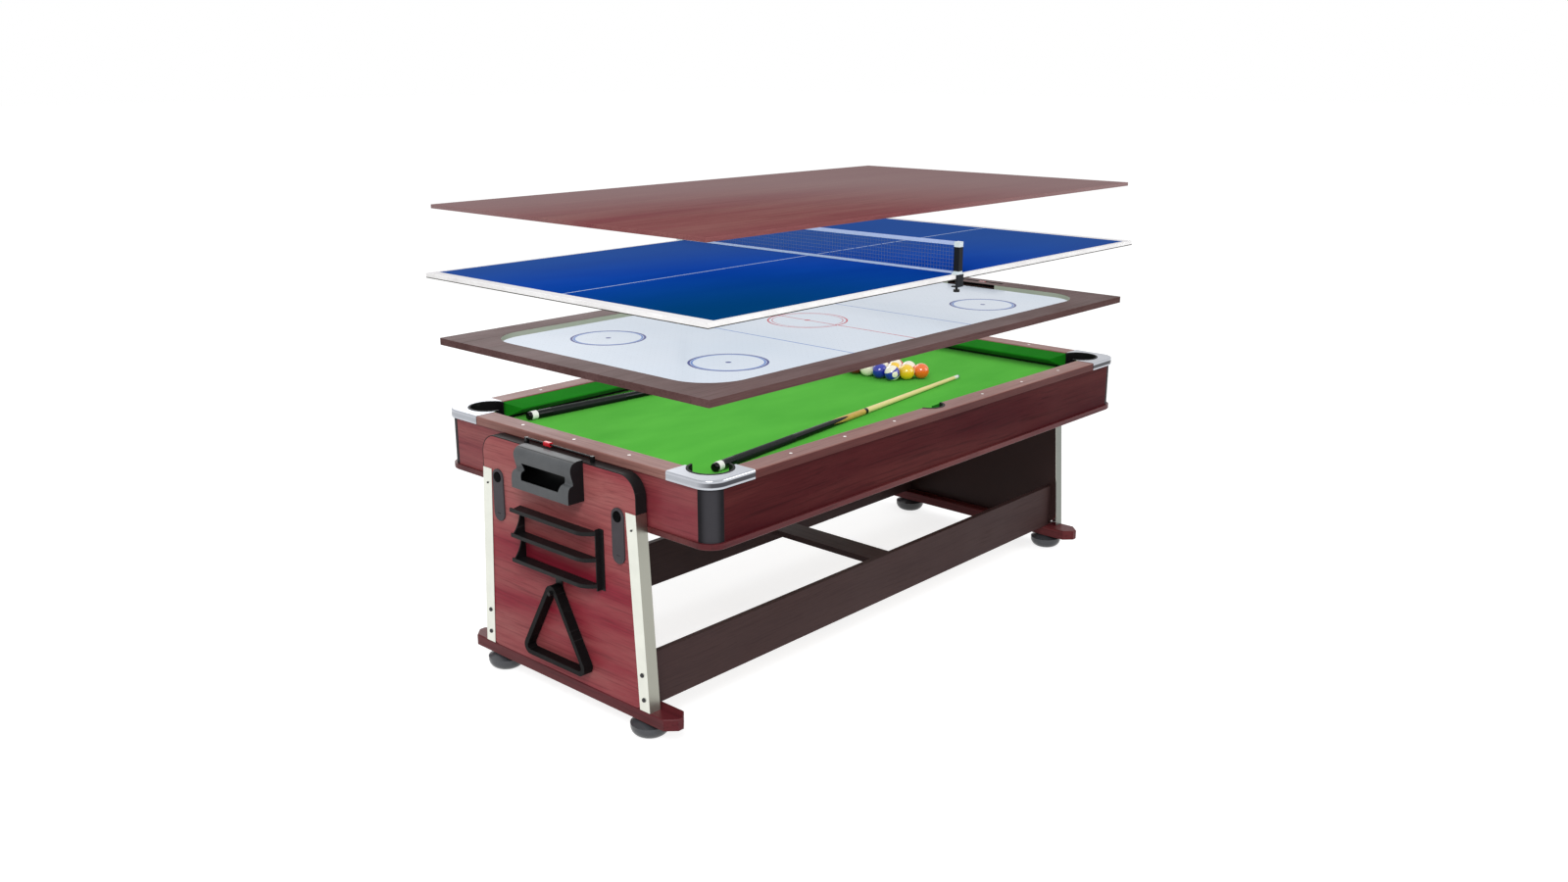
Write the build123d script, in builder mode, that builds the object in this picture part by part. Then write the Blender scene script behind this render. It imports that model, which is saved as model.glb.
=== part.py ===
"""Multi game table: a pool table on two end frames, with an air hockey top, a tennis top and a dining top.

Lengths are in millimetres. X runs along the table, Y across it and Z up. The origin is on the floor,
below the middle of the table. The near end, which carries the accessory rack, is at -X, and the front is at -Y.
The three tops are drawn lifted off the table, one above the other.
"""

from build123d import *
from math import atan2, cos, degrees, radians, sin, sqrt, tan
import os

# Driving sizes of the table
table_length = 2130
table_width = 1200
table_height = 810
cabinet_height = 195
seat_gap = 0.3
running_gap = 0.05
cut_overrun = 2

# End frames
panel_thickness = 38
panel_rail_drop = 30
panel_corner_radius = 60
panel_top_half_width = 347
panel_foot_half_width = 383
edging_thickness = 3
trim_top_drop = 135
trim_face_width = 40
trim_thickness = 2
plank_length = 940
plank_depth = 80
plank_thickness = 35
plank_corner_cut = 30
plank_outer_step = 2
foot_height = 55
foot_radius = 58
foot_base_radius = 32
foot_lip_height = 30
foot_lip_thickness = 8
foot_neck_radius = 22
foot_stem_radius = 8
foot_stem_reach = 28
foot_spread = 340

# Stretchers between the end frames
stretcher_height = 160
stretcher_thickness = 20
stretcher_inset = 22
brace_width = 100
brace_thickness = 20

# Screw heads on the leg trims
screw_radius = 7
small_screw_radius = 3.5
screw_head_height = 3
screw_head_taper_angle = 20
low_screw_rise = 35
screw_pitch = 75
small_screw_drop = 48

# Cabinet
apron_inset = 6
apron_thickness = 20
post_radius = 50
molding_height = 18
molding_proud = 8
molding_edge_radius = 4
bottom_thickness = 6
bottom_raise = 3
bearer_width = 60
bearer_pitch = 400
bearer_count = 4

# Rails, cushions and bed
rail_top_thickness = 25
rail_width = 72
rail_edge_radius = 4
cushion_depth = 45
cushion_nose_height = 36
cushion_nose_thickness = 5
cushion_foot_depth = 12
cushion_foot_height = 10
cushion_top_drop = 3
play_depth = 60
cloth_thickness = 1.5
bed_thickness = 15
bed_margin = 4
sight_radius = 5
sight_depth = 1.5
sight_proud = 0.4

# Pockets and their caps
corner_pocket_offset = 100
corner_pocket_radius = 64
side_pocket_offset = 80
side_pocket_radius = 48
liner_wall = 3
liner_rim_width = 4
liner_rim_thickness = 1
corner_liner_angle = 125
side_liner_angle = 78
corner_cup_radius = 70.5
side_cup_radius = 53.7
cup_wall = 3
cup_depth = 78
cap_length = 170
cap_proud = 1.5
cap_edge_radius = 5
corner_mouth = 138
side_mouth = 132
side_mouth_back = 108

# Goal boxes and score counters at the table's ends
goal_half_width = 130
goal_wall = 3
goal_top_drop = 20
goal_top_depth = 14
goal_upper_depth = 47
goal_upper_drop = 28
goal_waist_depth = 39
goal_waist_drop = 68
goal_lower_depth = 58
goal_lower_drop = 102
goal_height = 122
goal_mouth_height = 46
goal_mouth_top_width = 200
goal_mouth_bottom_width = 168
goal_mouth_drop = 70
score_rod_radius = 3
score_rod_length = 310
score_rod_lift = 15
score_post_size = 10
score_slider_corner = 3
score_slider_length = 26
score_slider_width = 15
score_slider_height = 13
score_slider_place = 50

# Lock plates and pins
plate_width = 50
plate_height = 165
plate_thickness = 5
plate_drop = 129
plate_spread = 275
plate_mark_width = 14
plate_mark_height = 3
plate_mark_depth = 1.5
knob_radius = 16
knob_clearance = 0.5
knob_proud = 3
pin_radius = 8
pin_reach = 14

# Accessory rack and ball triangle, some of it as shares of the height between the foot plank and the goal box
shelf_count = 3
shelf_top_share = 0.86
shelf_pitch_share = 0.1367
shelf_thickness = 4
shelf_depth = 50
shelf_lip_height = 8
shelf_left_end = 175
shelf_tip_inset = 15
shelf_right_end = 194
shelf_corner_length = 54
rack_wall = 4
rack_wall_depth = 18
rack_wall_rise = 13
rack_wall_drop = 10
rack_flange_width = 15
rack_flange_thickness = 2
rack_web_depth = 14
hook_radius = 7
hook_length = 44
hook_plate_size = 30
hook_plate_thickness = 4
triangle_height_share = 0.4351
triangle_foot_share = 0.0744
triangle_bar = 15
triangle_depth = 32
triangle_corner_radius = 26

# Cues and balls
cue_length = 1450
cue_butt_radius = 14.5
cue_tip_radius = 6.5
cue_end_round = 4
front_cue_end_gap = 96
front_cue_side_gap = 85
front_cue_rise = 175
back_cue_end_gap = 96
back_cue_side_gap = 28
back_cue_rise = -100
ball_radius = 28.5
ball_rows = 3
balls_in_row = 5
ball_row_share = 0.41
ball_side_shift = 45

# Air hockey top
hockey_lift = 203
hockey_thickness = 22
hockey_border = 95
hockey_corner_radius = 140
field_thickness = 6
hockey_goal_width = 220
hockey_goal_depth = 30
hockey_goal_wall = 3
counter_length = 240
counter_width = 18
counter_depth = 9
counter_wall = 2
counter_slider_length = 26
counter_slider_place = -20
counter_edge = 47

# Tennis top and its net
tennis_length = 2170
tennis_width = 1240
tennis_lift = 190
tennis_thickness = 15
tennis_edge = 2.5
net_height = 100
net_thickness = 1
net_tape_width = 12
net_tape_thickness = 4
net_strand = 1.6
net_columns = 50
net_rows = 6
net_post_size = 20
net_post_inset = 6
clamp_reach = 17
clamp_plate = 4
clamp_drop = 24
clamp_width = 34
clamp_screw_radius = 4
clamp_knob_radius = 10
clamp_knob_height = 8
clamp_pad_radius = 6
clamp_pad_height = 2
clamp_screw_drop = 8

# Dining top
dining_lift = 198
dining_thickness = 12
top_corner_radius = 2

# Heights and faces that the pieces share
half_length = table_length / 2
half_width = table_width / 2
cabinet_bottom = table_height - cabinet_height
apron_bottom = cabinet_bottom + molding_height
apron_top = table_height - rail_top_thickness
apron_face_x = half_length - apron_inset
apron_face_y = half_width - apron_inset
cloth_top = table_height - play_depth
bed_top = cloth_top - cloth_thickness
bed_bottom = bed_top - bed_thickness
panel_inner_x = apron_face_x + molding_proud
panel_outer_x = panel_inner_x + panel_thickness
panel_top = table_height - panel_rail_drop
plank_outer_x = panel_outer_x + plank_outer_step
plank_centre_x = plank_outer_x - plank_depth / 2
plank_top = foot_height + plank_thickness
trim_top_height = table_height - trim_top_drop
nose_x = half_length - rail_width - cushion_depth
nose_y = half_width - rail_width - cushion_depth
rail_inner_x = half_length - rail_width
rail_inner_y = half_width - rail_width

ends = {"near": -1, "far": 1}
sides = {"front": -1, "back": 1}

os.makedirs("parts", exist_ok=True)


def save(piece, name):
    """Labels a finished piece and writes it."""
    piece.part.label = name
    export_step(piece.part, f"parts/{name}.step")


def panel_half_width(height):
    """Half width of an end panel at a height: it tapers from the foot plank to the top of the leg trims."""
    share = min(max((height - plank_top) / (trim_top_height - plank_top), 0), 1)
    return panel_foot_half_width + (panel_top_half_width - panel_foot_half_width) * share


def pocket_places():
    """Each pocket as x, y and the direction in degrees that points out of the table."""
    x = half_length - corner_pocket_offset
    y = half_width - corner_pocket_offset
    corners = [(i * x, j * y, degrees(atan2(j, i))) for i in ends.values() for j in sides.values()]
    middles = [(0, j * (half_width - side_pocket_offset), j * 90) for j in sides.values()]
    return corners, middles


corner_pockets, side_pockets = pocket_places()
corner_spots = [(x, y) for x, y, turn in corner_pockets]
side_spots = [(x, y) for x, y, turn in side_pockets]


# End panels: a board that stands on the foot plank, tapered towards the top
def panel_outline(grow):
    """Outline of an end panel across Y and Z, grown outwards by an amount."""
    foot = panel_foot_half_width + grow
    top = panel_top_half_width + grow
    return [
        (-foot, plank_top), (foot, plank_top), (top, trim_top_height),
        (top, panel_top + grow), (-top, panel_top + grow), (-top, trim_top_height),
    ]


plate_bottom = table_height - plate_drop - plate_height
pin_height = plate_bottom + plate_height - plate_width / 2
pin_spots = [(side * plate_spread, pin_height) for side in sides.values()]

for end_name, end in ends.items():
    with BuildPart() as end_panel:
        with BuildSketch(Plane.YZ.offset(end * panel_inner_x)) as panel_face:
            with BuildLine():
                Polyline(*panel_outline(0), close=True)
            make_face()
            fillet(panel_face.vertices().group_by(Axis.Z)[-1], panel_corner_radius)
            with Locations(*pin_spots):
                Circle(pin_radius + running_gap, mode=Mode.SUBTRACT)
        extrude(amount=end * panel_thickness)
    save(end_panel, f"end_panel_{end_name}")

# Black edging round the top of each end panel, down to the leg trims
with BuildPart() as panel_edging:
    for end in ends.values():
        for grow, mode in ((edging_thickness, Mode.ADD), (seat_gap, Mode.SUBTRACT)):
            with BuildSketch(Plane.YZ.offset(end * panel_inner_x)) as edging_face:
                with BuildLine():
                    Polyline(*panel_outline(grow), close=True)
                make_face()
                fillet(edging_face.vertices().group_by(Axis.Z)[-1], panel_corner_radius + grow)
            extrude(amount=end * panel_thickness, mode=mode)
    with BuildSketch(Plane.XY.offset(trim_top_height)):
        Rectangle(2 * plank_outer_x, plank_length)
    extrude(amount=-trim_top_height, mode=Mode.SUBTRACT)
save(panel_edging, "panel_edging")


# Leg trims: bent strips that wrap the slanted edges of an end panel
def trim_strip(side, outer, inner):
    """A strip along a panel's slanted edge, from an outer to an inner distance beyond the edge."""
    foot = panel_foot_half_width
    top = panel_top_half_width
    return [
        (side * (foot + outer), plank_top), (side * (top + outer), trim_top_height),
        (side * (top + inner), trim_top_height), (side * (foot + inner), plank_top),
    ]


for end_name, end in ends.items():
    with BuildPart() as leg_trims:
        for side in sides.values():
            with BuildSketch(Plane.YZ.offset(end * panel_inner_x)):
                with BuildLine():
                    Polyline(*trim_strip(side, trim_thickness, running_gap), close=True)
                make_face()
            extrude(amount=end * (panel_thickness + trim_thickness))
            with BuildSketch(Plane.YZ.offset(end * panel_outer_x)):
                with BuildLine():
                    Polyline(*trim_strip(side, trim_thickness, -trim_face_width), close=True)
                make_face()
            extrude(amount=end * trim_thickness)
    save(leg_trims, f"leg_trims_{end_name}")

# Foot planks: one under each end panel, with cut corners and a hole for each levelling foot
foot_spots = [(0, side * foot_spread) for side in sides.values()]
for end_name, end in ends.items():
    with BuildPart() as foot_plank:
        with BuildSketch(Plane.XY.offset(foot_height)) as plank_plan:
            with Locations((end * plank_centre_x, 0)):
                Rectangle(plank_depth, plank_length)
            chamfer(plank_plan.vertices(), plank_corner_cut)
            with Locations((end * plank_centre_x, 0)):
                with Locations(*foot_spots):
                    Circle(foot_stem_radius + running_gap, mode=Mode.SUBTRACT)
        extrude(amount=plank_thickness)
        chamfer(foot_plank.faces().sort_by(Axis.Z)[-1].outer_wire().edges(), edging_thickness)
    save(foot_plank, f"foot_plank_{end_name}")

# Levelling feet: round bowls with a wide lip, on stems that turn in the foot planks
for end_name, end in ends.items():
    for side_name, side in sides.items():
        foot_centre = (end * plank_centre_x, side * foot_spread, 0)
        foot_plane = Plane(origin=foot_centre, x_dir=(1, 0, 0), z_dir=(0, -1, 0))
        with BuildPart() as levelling_foot:
            with BuildSketch(foot_plane):
                neck_top = foot_height - seat_gap
                with BuildLine():
                    Line((0, 0), (foot_base_radius, 0))
                    TangentArc((foot_radius, foot_lip_height), (foot_base_radius, 0), tangent=(0, -1))
                    Polyline(
                        (foot_radius, foot_lip_height), (foot_radius, foot_lip_height + foot_lip_thickness),
                        (foot_neck_radius, neck_top), (foot_stem_radius, neck_top),
                        (foot_stem_radius, neck_top + foot_stem_reach), (0, neck_top + foot_stem_reach), (0, 0),
                    )
                make_face()
            revolve(axis=Axis(foot_plane.origin, (0, 0, 1)))
        save(levelling_foot, f"levelling_foot_{end_name}_{side_name}")

# Stretchers between the end panels, and the brace between the stretchers
stretcher_outer_y = panel_half_width(plank_top + stretcher_height) - stretcher_inset
stretcher_centre_y = stretcher_outer_y - stretcher_thickness / 2
stretcher_top = plank_top + stretcher_height
for side_name, side in sides.items():
    with BuildPart() as stretcher:
        with BuildSketch(Plane.XY.offset(plank_top)):
            with Locations((0, side * stretcher_centre_y)):
                Rectangle(2 * panel_inner_x, stretcher_thickness)
        extrude(amount=stretcher_height)
    save(stretcher, f"stretcher_{side_name}")

with BuildPart() as cross_brace:
    with BuildSketch(Plane.XY.offset(stretcher_top)):
        Rectangle(brace_width, 2 * (stretcher_outer_y - stretcher_thickness))
    extrude(amount=-brace_thickness)
save(cross_brace, "cross_brace")

# Screw heads on the outer faces of the leg trims
with BuildPart() as frame_screws:
    trim_face_x = panel_outer_x + trim_thickness
    for end in ends.values():
        for side in sides.values():
            low_screw_height = plank_top + low_screw_rise
            for height, radius in (
                (low_screw_height, screw_radius), (low_screw_height + screw_pitch, screw_radius),
                (trim_top_height - small_screw_drop, small_screw_radius),
            ):
                across = side * (panel_half_width(height) - trim_face_width / 2)
                with BuildSketch(Plane.YZ.offset(end * trim_face_x)):
                    with Locations((across, height)):
                        Circle(radius)
                extrude(amount=end * screw_head_height, taper=screw_head_taper_angle)
save(frame_screws, "frame_screws")


# Goal boxes: hollow housings on the end panels, with a flat back, a curved front and a mouth
def goal_profile(end):
    """Curved front of a goal box, from its top to its lower bulge, and the x of its back."""
    back = end * panel_outer_x
    front = [
        (back + end * goal_top_depth, goal_top), (back + end * goal_upper_depth, goal_top - goal_upper_drop),
        (back + end * goal_waist_depth, goal_top - goal_waist_drop),
        (back + end * goal_lower_depth, goal_top - goal_lower_drop),
    ]
    return back, front


goal_top = table_height - goal_top_drop
goal_bottom = goal_top - goal_height
goal_plane = Plane(origin=(0, 0, 0), x_dir=(1, 0, 0), z_dir=(0, -1, 0))
for end_name, end in ends.items():
    back, front = goal_profile(end)
    with BuildPart() as goal_box:
        with BuildSketch(goal_plane.offset(-goal_half_width)):
            with BuildLine():
                Spline(*front, tangents=((end, 0), (0, -1)))
                Polyline(
                    front[-1], (front[-1][0], goal_bottom), (back, goal_bottom), (back, goal_top), front[0],
                )
            make_face()
        extrude(amount=2 * goal_half_width)
        back_face = goal_box.faces().sort_by(Axis.X)[-1 if end < 0 else 0]
        offset(amount=-goal_wall, openings=back_face)
        with BuildSketch(Plane.YZ.offset(back + end * goal_top_depth)):
            low = goal_top - goal_mouth_drop - goal_mouth_height / 2
            high = low + goal_mouth_height
            with BuildLine():
                Polyline(
                    (-goal_mouth_bottom_width / 2, low), (goal_mouth_bottom_width / 2, low),
                    (goal_mouth_top_width / 2, high), (-goal_mouth_top_width / 2, high), close=True,
                )
            make_face()
        extrude(amount=end * goal_lower_depth, mode=Mode.SUBTRACT)
        with BuildSketch(Plane.YZ.offset(back)):
            with Locations((0, goal_bottom)):
                Rectangle(2 * goal_half_width, goal_height, align=(Align.CENTER, Align.MIN))
        extrude(amount=end * goal_wall)
    save(goal_box, f"goal_box_{end_name}")

# Score counters above the goal boxes: a rod held by two posts on the end panel
score_x = panel_inner_x + panel_thickness / 2
score_rod_height = panel_top + edging_thickness + score_rod_lift
with BuildPart() as score_rails:
    for end in ends.values():
        for side in sides.values():
            across = side * (score_rod_length / 2 - score_post_size / 2)
            with BuildSketch(Plane.XY.offset(panel_top + edging_thickness)):
                with Locations((end * score_x, across)):
                    Rectangle(score_post_size, score_post_size)
            extrude(amount=score_rod_height + score_rod_radius - panel_top - edging_thickness)
        with BuildSketch(goal_plane.offset(-score_rod_length / 2)):
            with Locations((end * score_x, score_rod_height)):
                Circle(score_rod_radius)
        extrude(amount=score_rod_length)
save(score_rails, "score_rails")

for end_name, end in ends.items():
    with BuildPart() as score_slider:
        slider_plane = goal_plane.offset(-score_slider_place - score_slider_length / 2)
        with BuildSketch(slider_plane) as slider_face:
            with Locations((end * score_x, score_rod_height)):
                Rectangle(score_slider_width, score_slider_height)
            fillet(slider_face.vertices(), score_slider_corner)
            with Locations((end * score_x, score_rod_height)):
                Circle(score_rod_radius + running_gap, mode=Mode.SUBTRACT)
        extrude(amount=score_slider_length)
    save(score_slider, f"score_slider_{end_name}")

# Lock plates beside the leg trims, each with a hole for a pin's knob and a pressed mark
with BuildPart() as lock_plates:
    for end in ends.values():
        with BuildSketch(Plane.YZ.offset(end * panel_outer_x)):
            for across, height in pin_spots:
                with Locations((across, plate_bottom + plate_height / 2)):
                    SlotOverall(plate_height, plate_width, rotation=90)
                with Locations((across, height)):
                    Circle(knob_radius + knob_clearance, mode=Mode.SUBTRACT)
        extrude(amount=end * plate_thickness)
        with BuildSketch(Plane.YZ.offset(end * (panel_outer_x + plate_thickness - plate_mark_depth))):
            with Locations(*[(across, plate_bottom + plate_width / 2) for across, height in pin_spots]):
                SlotOverall(plate_mark_width, plate_mark_height)
        extrude(amount=end * (plate_mark_depth + cut_overrun), mode=Mode.SUBTRACT)
save(lock_plates, "lock_plates")

# Lock pins: knobs whose shafts pass through the end panel into the cabinet's end apron
pin_tip_x = apron_face_x - pin_reach
for end_name, end in ends.items():
    for side_name, side in sides.items():
        with BuildPart() as lock_pin:
            with BuildSketch(Plane.YZ.offset(end * pin_tip_x)):
                with Locations((side * plate_spread, pin_height)):
                    Circle(pin_radius)
            extrude(amount=end * (panel_outer_x + seat_gap - pin_tip_x))
            with BuildSketch(Plane.YZ.offset(end * (panel_outer_x + seat_gap))):
                with Locations((side * plate_spread, pin_height)):
                    Circle(knob_radius)
            extrude(amount=end * (plate_thickness + knob_proud - seat_gap))
            fillet(lock_pin.faces().sort_by(Axis.X)[-1 if end > 0 else 0].edges(), knob_proud / 2)
        save(lock_pin, f"lock_pin_{end_name}_{side_name}")

# Accessory rack: three shelves open at the left, joined by a wall at the right, with a hook below
rack_face_x = -panel_outer_x
end_clear = goal_bottom - plank_top
shelf_top = plank_top + shelf_top_share * end_clear
shelf_pitch = shelf_pitch_share * end_clear
lowest_shelf = shelf_top - (shelf_count - 1) * shelf_pitch - shelf_thickness
wall_bottom = lowest_shelf - rack_wall_drop
wall_top = shelf_top + rack_wall_rise

# The triangle stands on a corner's round, so it is lower than a sharp one by that radius
triangle_bottom = plank_top + triangle_foot_share * end_clear
triangle_height = triangle_height_share * end_clear
triangle_circumradius = (triangle_height + triangle_corner_radius) / 1.5
hook_top = triangle_bottom + triangle_height - triangle_bar - seat_gap


def shelf_corners():
    """Corners of a shelf's free edge: its left tip, the start of its right bend, and its right wall."""
    tip = (rack_face_x - shelf_depth, shelf_left_end - shelf_tip_inset)
    bend = (rack_face_x - shelf_depth, shelf_corner_length - shelf_right_end)
    wall = (rack_face_x - rack_wall_depth, -shelf_right_end)
    return tip, bend, wall


with BuildPart() as accessory_rack:
    for shelf in range(shelf_count):
        level = shelf_top - shelf * shelf_pitch
        tip, bend, wall = shelf_corners()
        with BuildSketch(Plane.XY.offset(level - shelf_thickness)):
            with BuildLine():
                Polyline(wall, (rack_face_x, -shelf_right_end), (rack_face_x, shelf_left_end), tip, bend)
                TangentArc(bend, wall, tangent=(0, -1))
            make_face()
        extrude(amount=shelf_thickness)
        with BuildSketch(Plane.XY.offset(level)):
            inner_tip = (tip[0] + rack_wall, tip[1])
            inner_bend = (bend[0] + rack_wall, bend[1])
            inner_wall = (wall[0], wall[1] + rack_wall)
            with BuildLine():
                TangentArc(bend, wall, tangent=(0, -1))
                TangentArc(inner_bend, inner_wall, tangent=(0, -1))
                Line(wall, inner_wall)
                Polyline(bend, tip, inner_tip, inner_bend)
            make_face()
        extrude(amount=shelf_lip_height)
    with BuildSketch(Plane.XY.offset(wall_bottom)):
        with Locations((rack_face_x, -shelf_right_end)):
            Rectangle(rack_wall_depth, rack_wall, align=(Align.MAX, Align.MIN))
            Rectangle(rack_flange_thickness, rack_flange_width, align=(Align.MAX, Align.MAX))
    extrude(amount=wall_top - wall_bottom)
    for shelf in range(1, shelf_count):
        low = shelf_top - shelf * shelf_pitch
        high = low + shelf_pitch - shelf_thickness
        with BuildSketch(goal_plane.offset(-(shelf_left_end - shelf_tip_inset))):
            with BuildLine():
                Polyline(
                    (rack_face_x - shelf_depth + rack_wall, low), (rack_face_x, low), (rack_face_x, high),
                    (rack_face_x - rack_web_depth, high),
                )
                TangentArc(
                    (rack_face_x - rack_web_depth, high), (rack_face_x - shelf_depth + rack_wall, low),
                    tangent=(0, -1),
                )
            make_face()
        extrude(amount=rack_wall)
    with BuildSketch(Plane.YZ.offset(rack_face_x)):
        with Locations((0, hook_top - hook_radius)):
            Circle(hook_radius)
    extrude(amount=-hook_length)
    with BuildSketch(Plane.YZ.offset(rack_face_x)):
        plate_low = hook_top - hook_radius - hook_plate_size / 2
        with Locations((0, plate_low)):
            Rectangle(hook_plate_size, lowest_shelf - plate_low, align=(Align.CENTER, Align.MIN))
    extrude(amount=-hook_plate_thickness)
save(accessory_rack, "accessory_rack")

# Ball triangle, hung on the hook by its top corner
triangle_back_x = rack_face_x - hook_plate_thickness - seat_gap
with BuildPart() as triangle_rack:
    with BuildSketch(Plane.YZ.offset(triangle_back_x)) as triangle_face:
        with Locations((0, triangle_bottom + triangle_circumradius / 2)):
            RegularPolygon(triangle_circumradius, 3, rotation=90)
        fillet(triangle_face.vertices(), triangle_corner_radius)
        offset(amount=-triangle_bar, mode=Mode.SUBTRACT)
    extrude(amount=-triangle_depth)
save(triangle_rack, "triangle_rack")

# Cabinet aprons, which butt against the corner posts
long_apron = 2 * (apron_face_x - post_radius)
end_apron_length = 2 * (apron_face_y - post_radius)
for side_name, side in sides.items():
    with BuildPart() as side_apron:
        with BuildSketch(Plane.XY.offset(apron_bottom)):
            with Locations((0, side * (apron_face_y - apron_thickness / 2))):
                Rectangle(long_apron, apron_thickness)
        extrude(amount=apron_top - apron_bottom)
    save(side_apron, f"side_apron_{side_name}")

for end_name, end in ends.items():
    with BuildPart() as end_apron:
        with BuildSketch(Plane.XY.offset(apron_bottom)):
            with Locations((end * (apron_face_x - apron_thickness / 2), 0)):
                Rectangle(apron_thickness, end_apron_length)
        extrude(amount=apron_top - apron_bottom)
        with BuildSketch(Plane.YZ.offset(end * (apron_face_x - pin_reach - seat_gap))):
            with Locations(*pin_spots):
                Circle(pin_radius + running_gap)
        extrude(amount=end * (pin_reach + cut_overrun), mode=Mode.SUBTRACT)
    save(end_apron, f"end_apron_{end_name}")

# Corner posts: quarter round shells between the aprons
with BuildPart() as corner_posts:
    with BuildSketch(Plane.XY.offset(apron_bottom)):
        for end in ends.values():
            for side in sides.values():
                centre = (end * (apron_face_x - post_radius), side * (apron_face_y - post_radius))
                with Locations(centre):
                    Circle(post_radius)
                    Circle(post_radius - apron_thickness / 2, mode=Mode.SUBTRACT)
        Rectangle(long_apron, table_width, mode=Mode.SUBTRACT)
        Rectangle(table_length, end_apron_length, mode=Mode.SUBTRACT)
    extrude(amount=apron_top - apron_bottom)
save(corner_posts, "corner_posts")

# Base molding round the foot of the cabinet, and the bottom panel inside it
inside_x = apron_face_x - apron_thickness
inside_y = apron_face_y - apron_thickness
with BuildPart() as base_molding:
    with BuildSketch(Plane.XY.offset(cabinet_bottom)):
        RectangleRounded(
            2 * (apron_face_x + molding_proud), 2 * (apron_face_y + molding_proud), post_radius + molding_proud
        )
        Rectangle(2 * inside_x, 2 * inside_y, mode=Mode.SUBTRACT)
    extrude(amount=molding_height)
    fillet(base_molding.faces().sort_by(Axis.Z)[0].outer_wire().edges(), molding_edge_radius)
save(base_molding, "base_molding")

with BuildPart() as bottom_panel:
    with BuildSketch(Plane.XY.offset(cabinet_bottom + bottom_raise)):
        Rectangle(2 * inside_x, 2 * inside_y)
    extrude(amount=bottom_thickness)
save(bottom_panel, "bottom_panel")

# Bearers across the cabinet that carry the bed
bearer_bottom = cabinet_bottom + bottom_raise + bottom_thickness
with BuildPart() as bed_bearers:
    with BuildSketch(Plane.XY.offset(bearer_bottom)):
        with GridLocations(bearer_pitch, 0, bearer_count, 1):
            Rectangle(bearer_width, 2 * inside_y)
    extrude(amount=bed_bottom - bearer_bottom)
save(bed_bearers, "bed_bearers")

# Playing bed and its cloth, notched round the pocket cups
cup_sizes = ((corner_spots, corner_cup_radius), (side_spots, side_cup_radius))
for piece_name, level, thickness in (
    ("playing_bed", bed_bottom, bed_thickness), ("bed_cloth", bed_top, cloth_thickness)
):
    with BuildPart() as bed_layer:
        with BuildSketch(Plane.XY.offset(level)):
            Rectangle(2 * (inside_x - bed_margin), 2 * (inside_y - bed_margin))
            for spots, cup_radius in cup_sizes:
                with Locations(*spots):
                    Circle(cup_radius + seat_gap, mode=Mode.SUBTRACT)
            corner = corner_pocket_offset - apron_inset - apron_thickness - bed_margin
            pitch_x = table_length - 2 * corner_pocket_offset + corner
            pitch_y = table_width - 2 * corner_pocket_offset + corner
            with GridLocations(pitch_x, pitch_y, 2, 2):
                Rectangle(corner, corner, mode=Mode.SUBTRACT)
        extrude(amount=thickness)
    save(bed_layer, piece_name)

# Rails: a board on the aprons with a block under its inner part
sight_pitch_x = nose_x / 4
sight_pitch_y = nose_y / 2
long_sights = [(end * sight_pitch_x * step, side * (half_width - rail_width / 2))
               for end in ends.values() for side in sides.values() for step in range(1, 4)]
end_sights = [(end * (half_length - rail_width / 2), sight_pitch_y * step)
              for end in ends.values() for step in range(-1, 2)]

with BuildPart() as long_rails:
    for side in sides.values():
        length = 2 * (half_length - cap_length)
        with BuildSketch(Plane.XY.offset(apron_top)):
            with Locations((0, side * (half_width - rail_width / 2))):
                Rectangle(length, rail_width)
        extrude(amount=rail_top_thickness)
        block = inside_y - rail_inner_y
        with BuildSketch(Plane.XY.offset(cloth_top)):
            with Locations((0, side * (rail_inner_y + block / 2))):
                Rectangle(length, block)
        extrude(amount=apron_top - cloth_top)
    fillet(long_rails.edges().filter_by(Axis.X).group_by(Axis.Z)[-1], rail_edge_radius)
    with BuildSketch(Plane.XY.offset(cloth_top)):
        with Locations(*side_spots):
            Circle(side_pocket_radius)
    extrude(amount=play_depth, mode=Mode.SUBTRACT)
    with BuildSketch(Plane.XY.offset(table_height - sight_depth)):
        with Locations(*long_sights):
            Circle(sight_radius)
    extrude(amount=sight_depth + cut_overrun, mode=Mode.SUBTRACT)
save(long_rails, "long_rails")

with BuildPart() as end_rails:
    for end in ends.values():
        length = 2 * (half_width - cap_length)
        with BuildSketch(Plane.XY.offset(apron_top)):
            with Locations((end * (half_length - rail_width / 2), 0)):
                Rectangle(rail_width, length)
        extrude(amount=rail_top_thickness)
        block = inside_x - rail_inner_x
        with BuildSketch(Plane.XY.offset(cloth_top)):
            with Locations((end * (rail_inner_x + block / 2), 0)):
                Rectangle(block, length)
        extrude(amount=apron_top - cloth_top)
    fillet(end_rails.edges().filter_by(Axis.Y).group_by(Axis.Z)[-1], rail_edge_radius)
    with BuildSketch(Plane.XY.offset(table_height - sight_depth)):
        with Locations(*end_sights):
            Circle(sight_radius)
    extrude(amount=sight_depth + cut_overrun, mode=Mode.SUBTRACT)
save(end_rails, "end_rails")

# Sights: small white discs let into the rails
with BuildPart() as rail_sights:
    with BuildSketch(Plane.XY.offset(table_height - sight_depth)):
        with Locations(*(long_sights + end_sights)):
            Circle(sight_radius - running_gap)
    extrude(amount=sight_depth + sight_proud)
save(rail_sights, "rail_sights")

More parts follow.
